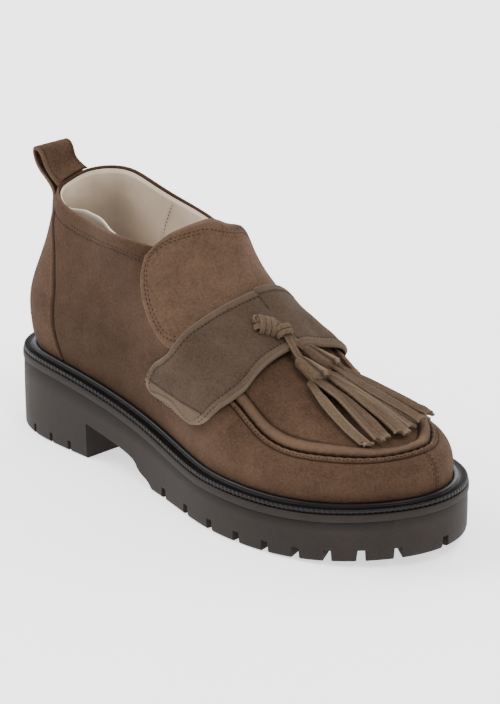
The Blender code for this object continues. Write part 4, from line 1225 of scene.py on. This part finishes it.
# Pull loop


def heel_point(across, level, distance):
    """A point on the heel's back this far to the side, off the upper's form by a distance."""
    turns = np.linspace(-0.7, 0.7, 141)
    sides = form(turns % TURN, level)[:, 1]
    turn = np.interp(across, sides[::-1], turns[::-1])
    return off_form(turn % TURN, level, distance)


def make_pull_loop():
    """Strap folded over behind the heel, from the counter up and over to the collar's rim."""
    columns = []
    back = heel_point(0, 1.0, 0)
    for across in np.linspace(LOOP_WIDTH / 2, -LOOP_WIDTH / 2, 33):
        outer = [heel_point(across, level, 0.4 * MM) for level in LOOP_LEVELS]
        rim = heel_point(across, 1.0, -0.2 * WALL)
        bow = []
        for backward, upward in LOOP_BOW:
            x = back[0] + (rim - back)[0] * (1 - upward) - backward * LOOP_REACH
            bow.append(np.array([x, across, back[2] + upward * LOOP_RISE]))
        route = np.array(outer + bow + [rim + np.array([0, 0, 0.9 * MM])])
        run = run_along(route)
        columns.append(spline(run, route, np.linspace(0, run[-1], 96)))
    points = np.array(columns).transpose(1, 0, 2)
    first, _, left, right = edge_distances(points)
    border = np.minimum(left, right) / MM
    groove = bell(border, LOOP_STITCHES / MM, 0.4)
    thick = LOOP_THICKNESS * rounded_edge(np.minimum(border, first / MM), 0.9) - 0.25 * MM * groove
    under, over = lay_plate(points, thick)
    # Tone: painted shade in the stitch grooves, lighter right at the edges.
    tone = np.clip(0.5 - 0.16 * groove + 0.18 * bell(border, 0.3, 0.5), 0, 1)
    points, faces, tones = sheet_parts(under, over, tone)
    add_piece("heel_loop", points, faces, BROWN, tones, "pull_loop")
    lines = [grid_line(over, distance, LOOP_STITCHES, 1, slice(3, -4)) for distance in (left, right)]
    add_stitches("loop_stitches", lines)


# Tassels and knot


def spot_on(trees, x, y):
    """The highest surface below a point, with its normal."""
    hits = [tree.ray_cast(Vector((x, y, 1)), Vector((0, 0, -1))) for tree in trees]
    spot, normal = max(((hit[0], hit[1]) for hit in hits if hit[0]), key=lambda hit: hit[0].z)
    return np.array(spot), np.array(normal)


def ground_at(trees, place):
    """Height of the highest surface below a place."""
    return spot_on(trees, *place[:2])[0][2]


def kept_above(trees, point, gap):
    """The point, lifted where it would lie closer than this above the surface."""
    return np.array([*point[:2], max(point[2], ground_at(trees, point) + gap)])


def strip_block(trees, start, tip, bow, twist, rise, lift, width, shade):
    """One strip of a tassel: it leaves the head high, comes down on the toe and ends with a slanted cut."""
    rows, columns = 40, 11
    run = unit(np.append(tip - start, 0))
    side = np.array([-run[1], run[0]])
    grid = np.zeros((rows, columns, 3))
    first = ground_at(trees, start) + 0.34 * TASSEL_HEAD + lift
    last = ground_at(trees, tip) + rise * MM + lift
    high = (0.34 * TASSEL_HEAD, 0.36 * TASSEL_HEAD, (1.8 + 0.6 * rise) * MM, (0.3 + rise) * MM, rise * MM)
    for i, t in enumerate(np.linspace(0, 1, rows)):
        bend = bow * MM * np.sin(np.pi * t) * (0.4 + 0.6 * t) + 0.5 * MM * np.sin(7 * t + 3 * bow)
        middle = start + (tip - start) * t + side * bend
        drop = float(spline((0, 0.15, 0.45, 0.8, 1), high, t))
        angle = twist * (0.35 + 0.65 * np.sin(np.pi * t)) * ease(0.05, 0.4, t)
        wide = width * (0.72 + 0.28 * ease(0.0, 0.5, t))
        ground = ground_at(trees, middle)
        for j, k in enumerate(np.linspace(0.5, -0.5, columns)):
            flat = middle + side * wide * k * np.cos(angle)
            floor = max(ground_at(trees, flat), ground - 0.3 * MM)
            tilt = wide * (abs(angle) * 0.5 + k * angle)
            curl = 0.9 * MM * (2 * k) ** 2 * np.sin(2.6 * t + 4 * bow)
            height = floor + max(drop, 0) + lift + tilt + max(curl, -0.3 * MM)
            taut = (1 - t) * first + t * last - 0.6 * MM + tilt
            grid[i, j] = (*flat, max(height, taut) if t > 0.1 else height)
    grid[-1] += np.linspace(1.1, -1.1, columns)[:, None] * run * MM
    along = np.linspace(0, 1, rows)[:, None]
    across = np.abs(np.linspace(-1, 1, columns))[None, :]
    under, over = lay_plate(grid, STRIP_THICKNESS * (1 - 0.30 * across**6) * np.ones((rows, 1)))
    # Tone: lighter along the edges and at the cut tip; painted shade where the strip leaves the head.
    tone = shade + 0.30 * across**6 + 0.20 * bell(along, 1.0, 0.03) - 0.30 * bell(along, 0, 0.12)
    points, faces, tones = sheet_parts(under, over, np.broadcast_to(np.clip(tone, 0, 1), (rows, columns)))
    # Painted shade on the strip's underside.
    tones[rows * columns:] -= 0.25
    return points, faces, tones


def head_block(trees, head, ahead):
    """Rolled head: a leather strip wound round itself, wider towards the fringe."""
    rows, sides = 30, 48
    centre = spot_on(trees, *head)[0] + np.array([0, 0, 0.50 * TASSEL_HEAD])
    side = unit(np.cross([0, 0, 1.0], ahead))
    up = np.cross(ahead, side)
    ring = np.linspace(0, TURN, sides)
    spiral = 1 + 0.20 * (ring / TURN) - 0.20 * ease(0.94 * TURN, TURN, ring)
    points = []
    for t in np.linspace(0, 1, rows):
        shoulder = np.sqrt(np.clip(1 - (1 - min(t / 0.14, 1)) ** 2, 0.03, 1))
        tail = 1 - 0.30 * ease(0.90, 1.0, t)
        radius = TASSEL_HEAD / 2 * (0.50 + 0.52 * t) * shoulder * tail
        middle = centre + ahead * 1.75 * TASSEL_HEAD * (t - 0.32)
        middle = kept_above(trees, middle, radius + 0.4 * MM)
        wrinkle = 1 + 0.025 * np.sin(3 * ring + 9 * t) + 0.03 * np.sin(7 * ring)
        turned = ring + 1.7 + 0.5 * t
        reach = (radius * spiral * wrinkle)[:, None]
        circle = side * np.cos(turned)[:, None] + up * 0.80 * np.sin(turned)[:, None]
        points.append(middle + circle * reach)
    # Painted shade at the step where the wound strip's end laps over, lighter just before it.
    tone = 0.5 - 0.42 * bell(ring, 0.962 * TURN, 0.14) + 0.22 * bell(ring, 0.88 * TURN, 0.25)
    faces = grid_quads(rows, sides).tolist()
    faces += [list(range(sides)), list(range((rows - 1) * sides, rows * sides))]
    return np.array(points).reshape(-1, 3), faces, np.tile(np.clip(tone, 0, 1), rows)


def make_tassel(name, rows, trees):
    rows = np.array(rows)
    plan = rows[:, :2] * [SOLE_LENGTH, BALL_WIDTH]
    head, tips = plan[0], plan[1:]
    run = unit(tips.mean(0) - head)
    fall = ground_at(trees, head + 14 * MM * run) - ground_at(trees, head)
    blocks = [head_block(trees, head, unit(np.array([*run, fall / (14 * MM)])))]
    for i, (tip, (bow, twist, rise)) in enumerate(zip(tips, rows[1:, 2:])):
        way = unit(tip - head)
        start = head + TASSEL_HEAD * (0.85 * way + (i - 2) * 0.16 * np.array([-way[1], way[0]]))
        lift = 0.35 * MM + (i % 2) * 1.1 * STRIP_THICKNESS
        width = STRIP_WIDTH * (0.92, 1.0, 0.9, 0.95, 0.86)[i]
        shade = (0.55, 0.42, 0.50, 0.38, 0.56)[i]
        blocks.append(strip_block(trees, start, tip, bow, twist, rise, lift, width, shade))
    points, faces, tones = joined(blocks)
    add_piece(name + "_fringe", points, faces, FRINGE, tones, name, 0.9)


def ribbon(path, width, thickness, side):
    """Flat strip along a path, with rounded edges."""
    path = np.asarray(path)
    across = np.linspace(0.5, -0.5, 9)
    grid = path[:, None] + np.broadcast_to(side, path.shape)[:, None] * (across * width)[None, :, None]
    even = np.ones((len(path), 1))
    under, over = lay_plate(grid, thickness * (1 - 0.5 * np.abs(2 * across) ** 5)[None, :] * even)
    return sheet_parts(under, over, 0.48 + 0.18 * np.abs(2 * across)[None, :] ** 4 * even)


def make_knot(trees):
    """Knot on the strap: a folded band with its loose end, two tight wraps and the stems of the tassels."""
    spot, normal = spot_on(trees, *(np.array(KNOT_PLACE) * [SOLE_LENGTH, BALL_WIDTH]))
    side = unit(np.cross(normal, np.array([np.cos(KNOT_HEADING), np.sin(KNOT_HEADING), 0])))
    ahead = np.cross(side, normal)
    blocks = []

    def place(u, v, w):
        return kept_above(trees, spot + MM * (ahead * u + side * v + normal * w), 0.25 * MM)

    fold = np.linspace(0, 1, 40)
    for shift, width, rise in ((-2.2, 3.4, 0.3), (1.4, 3.6, 0.9)):
        path = [place(-5.5 + 13 * t, shift + 0.5 * np.sin(5 * t), rise + 2.6 * np.sin(np.pi * t) ** 0.5)
                for t in fold]
        blocks.append(ribbon(path, width * MM, 1.3 * MM, side))
    arc = np.linspace(0, np.pi, 20)
    for centre in (-3.2, -0.4, 2.4):
        path = [place(centre + 0.9 * np.cos(a), -4.3 * np.cos(a), 0.4 + 3.9 * np.sin(a) ** 0.7) for a in arc]
        blocks.append(ribbon(path, 2.5 * MM, 1.1 * MM, -ahead))
    curl = np.linspace(0, 1.3 * np.pi, 22)
    path = [place(-5.6 - 2.2 * np.sin(a), 1.8 - 2.4 * np.cos(a), 1.4 + 1.0 * np.sin(a)) for a in curl]
    blocks.append(ribbon(path, 2.2 * MM, 1.2 * MM, normal))

    heads = [np.array(rows[0][:2]) * [SOLE_LENGTH, BALL_WIDTH] for rows in TASSELS.values()]
    top = place(6.5, 0.0, 2.4)
    down = unit(spot_on(trees, *heads[0])[0] - top)
    across = unit(np.cross(normal, down))
    for centre in (1.2, 4.0):
        path = []
        for a in np.linspace(-0.1, np.pi + 0.1, 22):
            round_stem = normal * 2.6 * max(np.sin(a), 0) ** 0.7 - across * 3.6 * np.cos(a)
            point = top + MM * (down * (centre + 0.3 * np.cos(a)) + round_stem)
            path.append(kept_above(trees, point, 0.3 * MM))
        blocks.append(ribbon(path, 2.5 * MM, 1.2 * MM, -down))
    for shift, head in zip((-1.2, 1.2), heads):
        end = spot_on(trees, *head)[0] + np.array([0, 0, 0.50 * TASSEL_HEAD])
        begin = top - MM * (across * shift + down * 2)
        path = []
        for t in np.linspace(0, 1, 20):
            sag = np.array([0, 0, 0.8 * MM * np.sin(np.pi * t)])
            path.append(kept_above(trees, begin * (1 - t) + end * t - sag, 0.5 * MM))
        blocks.append(ribbon(path, 3.4 * MM, 1.8 * MM, -across))
    points, faces, tones = joined(blocks)
    add_piece("woven_knot", points, faces, FRINGE, tones, "tassel_knot", 0.9)


# Welt and sole


def edge_ring(turn, inset, height):
    plan, _ = sole_edge(turn, inset)
    return np.concatenate([plan, np.asarray(height(plan[:, 0]))[:, None]], -1)


def even_turns(count):
    """Turns at equal distances round the sole's edge, and the edge's length."""
    turn = np.linspace(0, TURN, 4001)
    run = run_along(sole_edge(turn)[0])
    return np.interp(np.linspace(0, run[-1], count, endpoint=False), run, turn), run[-1]


def make_welt():
    """Smooth bead against the upper, then a ribbed shelf with a notched edge."""
    _, length = even_turns(1)
    turn, _ = even_turns(5 * int(length / WELT_RIB))
    count = len(turn)
    phase = np.arange(count) / 5 * TURN
    rib, notch = 0.5 + 0.5 * np.cos(phase), 0.5 + 0.5 * np.cos(phase / 2)
    levels = np.linspace(0, 0.3, 60)
    coarse = np.linspace(0, TURN, 181)
    heights = form(coarse[:, None], levels[None, :])[..., 2]

    def against(rise):
        level = np.array([np.interp(row[0] + rise, row, levels) for row in heights])
        return off_form(turn, np.interp(turn, coarse, level), np.full(count, GAP))

    def ring(inset, rise):
        plan, outward = sole_edge(turn)
        plan = plan - outward * np.broadcast_to(inset, turn.shape)[:, None]
        return np.concatenate([plan, (sole_top(plan[:, 0]) + GAP + rise)[:, None]], -1)

    low = against(0)
    low[:, 2] = sole_top(low[:, 0]) + GAP
    edge = WELT_SETBACK + 0.35 * MM * (1 - notch)
    start = WELT_REACH - WELT_BEAD
    # Each row's tone: painted shade in the groove before the bead and where the welt meets the upper, a
    # little on the shelf's edge.
    rows = [(low, 0.5), (ring(edge, 0), 0.4)]
    for inset, drop in ((-0.1 * MM, 0.7 * MM), (0.2 * MM, 0.15 * MM)):
        rows.append((ring(edge + inset, WELT_SHELF - drop), 0.45))
    for share in (0.12, 0.35, 0.6, 0.82):
        furrow = 0.38 * MM * (1 - rib) * np.sin(np.pi * min(share + 0.15, 1)) ** 0.5
        rows.append((ring(edge * (1 - share) + start * share, WELT_SHELF - furrow), 0.45))
    rows.append((ring(start - 0.3 * MM, WELT_SHELF - 0.35 * MM), 0.1))
    swell = WELT_THICKNESS - WELT_SHELF + 0.2 * MM
    for angle in np.linspace(-0.1, np.pi * 0.72, 8):
        inset = start + WELT_BEAD / 2 * (1 - np.cos(angle))
        rows.append((ring(inset, WELT_SHELF - 0.2 * MM + swell * np.sin(max(angle, 0)) ** 0.7), 0.5))
    rows += [(against(WELT_THICKNESS - 0.3 * MM), 0.35), (against(WELT_THICKNESS / 2), 0.5)]
    points = np.array([row for row, _ in rows]).reshape(-1, 3)
    tone = np.repeat([shade for _, shade in rows], count)
    index = np.arange(len(points)).reshape(-1, count)
    faces = np.concatenate([grid_quads(len(rows), count, 0, True), closing_quads(index)])
    add_piece("welt_strip", points, faces, BLACK, tone, "welt")


def cutter_object(name, mesh):
    bmesh.ops.recalc_face_normals(mesh, faces=mesh.faces)
    data = bpy.data.meshes.new(name)
    mesh.to_mesh(data)
    mesh.free()
    return add_object(name, data)


def softened(points, rounds=3):
    """Open line with its corners cut, again and again, towards a curve."""
    points = np.asarray(points, float)
    for _ in range(rounds):
        near = 0.75 * points[:-1] + 0.25 * points[1:]
        far = 0.25 * points[:-1] + 0.75 * points[1:]
        middle = np.stack([near, far], 1).reshape(-1, 2)
        points = np.concatenate([points[:1], middle, points[-1:]])
    return points


def arch_cutter():
    """Block that cuts the arch under the waist: a straight heel breast, then a curve to the forefoot."""
    mesh = bmesh.new()
    reach = BALL_WIDTH
    curve = softened([(share * SOLE_LENGTH, height * BREAST_HEIGHT) for share, height in ARCH[1:]])
    profile = [(curve[0][0], -reach), *curve, (curve[-1][0], -reach)]
    near = [mesh.verts.new((x + PLACE[0], -reach, z)) for x, z in profile]
    far = [mesh.verts.new((x + PLACE[0], reach, z)) for x, z in profile]
    mesh.faces.new(near)
    mesh.faces.new(far[::-1])
    for i in range(len(near)):
        j = (i + 1) % len(near)
        mesh.faces.new((near[i], far[i], far[j], near[j]))
    return cutter_object("arch_cutter", mesh)


def slot_cutter():
    mesh = bmesh.new()
    fore, heel = angle_of(FORE_SLOTS), angle_of(HEEL_SLOTS)
    rows = (
        (np.concatenate([fore, [np.pi], TURN - fore]), FORE_SLOT_WIDTH, FORE_SLOT_HEIGHT),
        (np.concatenate([heel, TURN - heel]), HEEL_SLOT_WIDTH, HEEL_SLOT_HEIGHT),
    )
    for turns, width, height in rows:
        plan, outward = sole_edge(turns)
        for (x, y), (u, v) in zip(plan, outward):
            top = floor_lift(x) + height
            box = bmesh.ops.create_cube(mesh, size=1)["verts"]
            for vert in box:
                inward = (0.5 - vert.co.x) * SLOT_DEPTH * 1.5 - SLOT_DEPTH / 2
                side = vert.co.y * width * (1.15 if vert.co.z < 0 else 0.75)
                level = top if vert.co.z > 0 else -height
                spot = Vector((x - u * inward - v * side, y - v * inward + u * side, level))
                vert.co = spot + Vector(PLACE)
    return cutter_object("slot_cutter", mesh)


def cap_faces(plan, start):
    """Faces across a closed ring, between its two sides from the heel to the toe."""
    count = len(plan)
    toe, heel = int(np.argmax(plan)), int(np.argmin(plan))
    left = [(heel + k) % count for k in range((toe - heel) % count + 1)]
    right = [(heel - k) % count for k in range((heel - toe) % count + 1)]
    longest = max(len(left), len(right))
    left, right = (
        [side[round(k * (len(side) - 1) / (longest - 1))] for k in range(longest)] for side in (left, right)
    )
    faces = [list(dict.fromkeys(corners)) for corners in zip(left, left[1:], right[1:], right)]
    return [[corner + start for corner in face] for face in faces if len(face) > 2]


def make_outsole():
    """Moulded sole with a parting line, arch and slots."""
    count = 520
    turn, _ = even_turns(count)
    band = SOLE_BAND_STEP
    rows = [(SOLE_CHAMFER + band, floor_lift)]
    for angle in np.linspace(0, np.pi / 2, 5)[1:]:
        inset = band + SOLE_CHAMFER * (1 - np.sin(angle))
        rows.append((inset, lambda x, a=angle: floor_lift(x) + SOLE_CHAMFER * (1 - np.cos(a))))
    for share in (0.25, 0.5, 0.75):
        inset = band - 0.15 * MM * np.sin(np.pi * share)
        rows.append((inset, lambda x, s=share: (
            (floor_lift(x) + SOLE_CHAMFER) * (1 - s) + (sole_top(x) - SOLE_BAND) * s
        )))
    edge_rows = (
        (band, -SOLE_BAND), (band + 0.1 * MM, -SOLE_BAND + 0.15 * MM), (0.1 * MM, -SOLE_BAND + 0.5 * MM),
        (0, -SOLE_BAND + 0.8 * MM), (0, -0.8 * MM), (0.15 * MM, -0.3 * MM), (0.5 * MM, -0.02 * MM),
        (2 * MM, 0),
    )
    rows += [(inset, lambda x, d=drop: sole_top(x) + d) for inset, drop in edge_rows]
    points = np.array([edge_ring(turn, inset, height) for inset, height in rows])
    faces = grid_quads(len(rows), count, 0, True).tolist()
    for row in (0, len(rows) - 1):
        faces += cap_faces(points[0, :, 0], row * count)
    sole = add_piece("lug_sole", points.reshape(-1, 3), faces, TAUPE, None, "outsole", SOLE_SHARP)
    for cutter in (arch_cutter(), slot_cutter()):
        modifier = sole.modifiers.new(cutter.name, "BOOLEAN")
        modifier.operation = "DIFFERENCE"
        modifier.solver = "EXACT"
        modifier.object = cutter
        bpy.context.view_layer.objects.active = sole
        bpy.ops.object.modifier_apply(modifier=modifier.name)
        bpy.data.objects.remove(cutter)
    data = sole.data
    x, _, z = np.array([vert.co for vert in data.vertices]).T
    # Painted shade in the step of the parting line.
    tone = 0.5 - 0.30 * bell((z - sole_top(x - PLACE[0])) / MM, -SOLE_BAND / MM, 0.35)
    layer = data.attributes.get("tone") or data.attributes.new("tone", "FLOAT", "POINT")
    layer.data.foreach_set("value", np.clip(tone, 0, 1).astype(np.float32))
    data.set_sharp_from_angle(angle=SOLE_SHARP)


# Stage


def make_stage():
    """Pale floor that runs up behind into a wall, the world's light and soft lamps."""
    data = bpy.data.meshes.new("floor")
    profile = [(FLOOR_FRONT, 0.0), (FLOOR_BACK, 0.0)]
    for a in np.linspace(0, np.pi / 2, 16)[1:]:
        profile.append((FLOOR_BACK + FLOOR_BEND * np.sin(a), FLOOR_BEND * (1 - np.cos(a))))
    profile.append((FLOOR_BACK + FLOOR_BEND, WALL_TOP))
    away = np.array([-np.sin(CAMERA_TURN), np.cos(CAMERA_TURN)])
    right = np.array([np.cos(CAMERA_TURN), np.sin(CAMERA_TURN)])
    points = [(*(away * depth + right * side), height)
              for depth, height in profile for side in (-FLOOR_SIDE, FLOOR_SIDE)]
    data.from_pydata(points, [], grid_quads(len(profile), 2).tolist())
    data.shade_smooth()
    shade = Shader("floor_pale")
    cloud = shade.spread(shade.noise(3, 2), 0.4, 0.6)
    colour = shade.blend(cloud, (0.86, 0.86, 0.865), (0.875, 0.875, 0.88))
    data.materials.append(shade.finish(
        Base_Color=colour, Roughness=0.9, Specular_IOR_Level=0.1,
        Emission_Color=colour, Emission_Strength=FLOOR_GLOW,
    ))
    floor = add_object("floor", data)

    world = bpy.data.worlds.new("studio")
    bpy.context.scene.world = world
    world.use_nodes = True
    world.node_tree.nodes["Background"].inputs["Color"].default_value = (1, 1, 1, 1)
    world.node_tree.nodes["Background"].inputs["Strength"].default_value = WORLD_LIGHT
    for name, (place, power) in LAMPS.items():
        lamp = bpy.data.lights.new(name, "AREA")
        lamp.energy = power
        lamp.size = LAMP_SIZE
        lamp.shape = "DISK"
        light = add_object(name, lamp)
        light.location = place
        light.rotation_euler = (Vector((0, 0, 0.05)) - Vector(place)).to_track_quat("-Z", "Y").to_euler()


def make_camera():
    data = bpy.data.cameras.new("camera")
    camera = add_object("camera", data)
    level = np.cos(CAMERA_RISE)
    out = np.array([np.sin(CAMERA_TURN) * level, -np.cos(CAMERA_TURN) * level, np.sin(CAMERA_RISE)])
    camera.location = CAMERA_TARGET + CAMERA_DISTANCE * out + PLACE
    look = Vector(CAMERA_AIM + PLACE) - camera.location
    camera.rotation_euler = look.to_track_quat("-Z", "Y").to_euler()
    data.sensor_fit = "VERTICAL"
    data.sensor_height = CAMERA_SENSOR
    data.lens = CAMERA_LENS
    data.clip_start = 0.05
    bpy.context.scene.camera = camera


def dress_insole():
    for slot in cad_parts["insole"].material_slots:
        slot.material = BEIGE


def main():
    make_camera()
    make_stage()
    upper_tree, upper = make_upper()
    make_lining()
    add_seam_stitches(upper)
    tongue_tree = make_tongue(upper_tree)
    strap_tree = make_strap(upper_tree, tongue_tree)
    make_pull_loop()
    trees = (upper_tree, strap_tree)
    for name, rows in TASSELS.items():
        make_tassel(name, rows, trees)
    make_knot(trees)
    make_welt()
    make_outsole()
    dress_insole()


main()
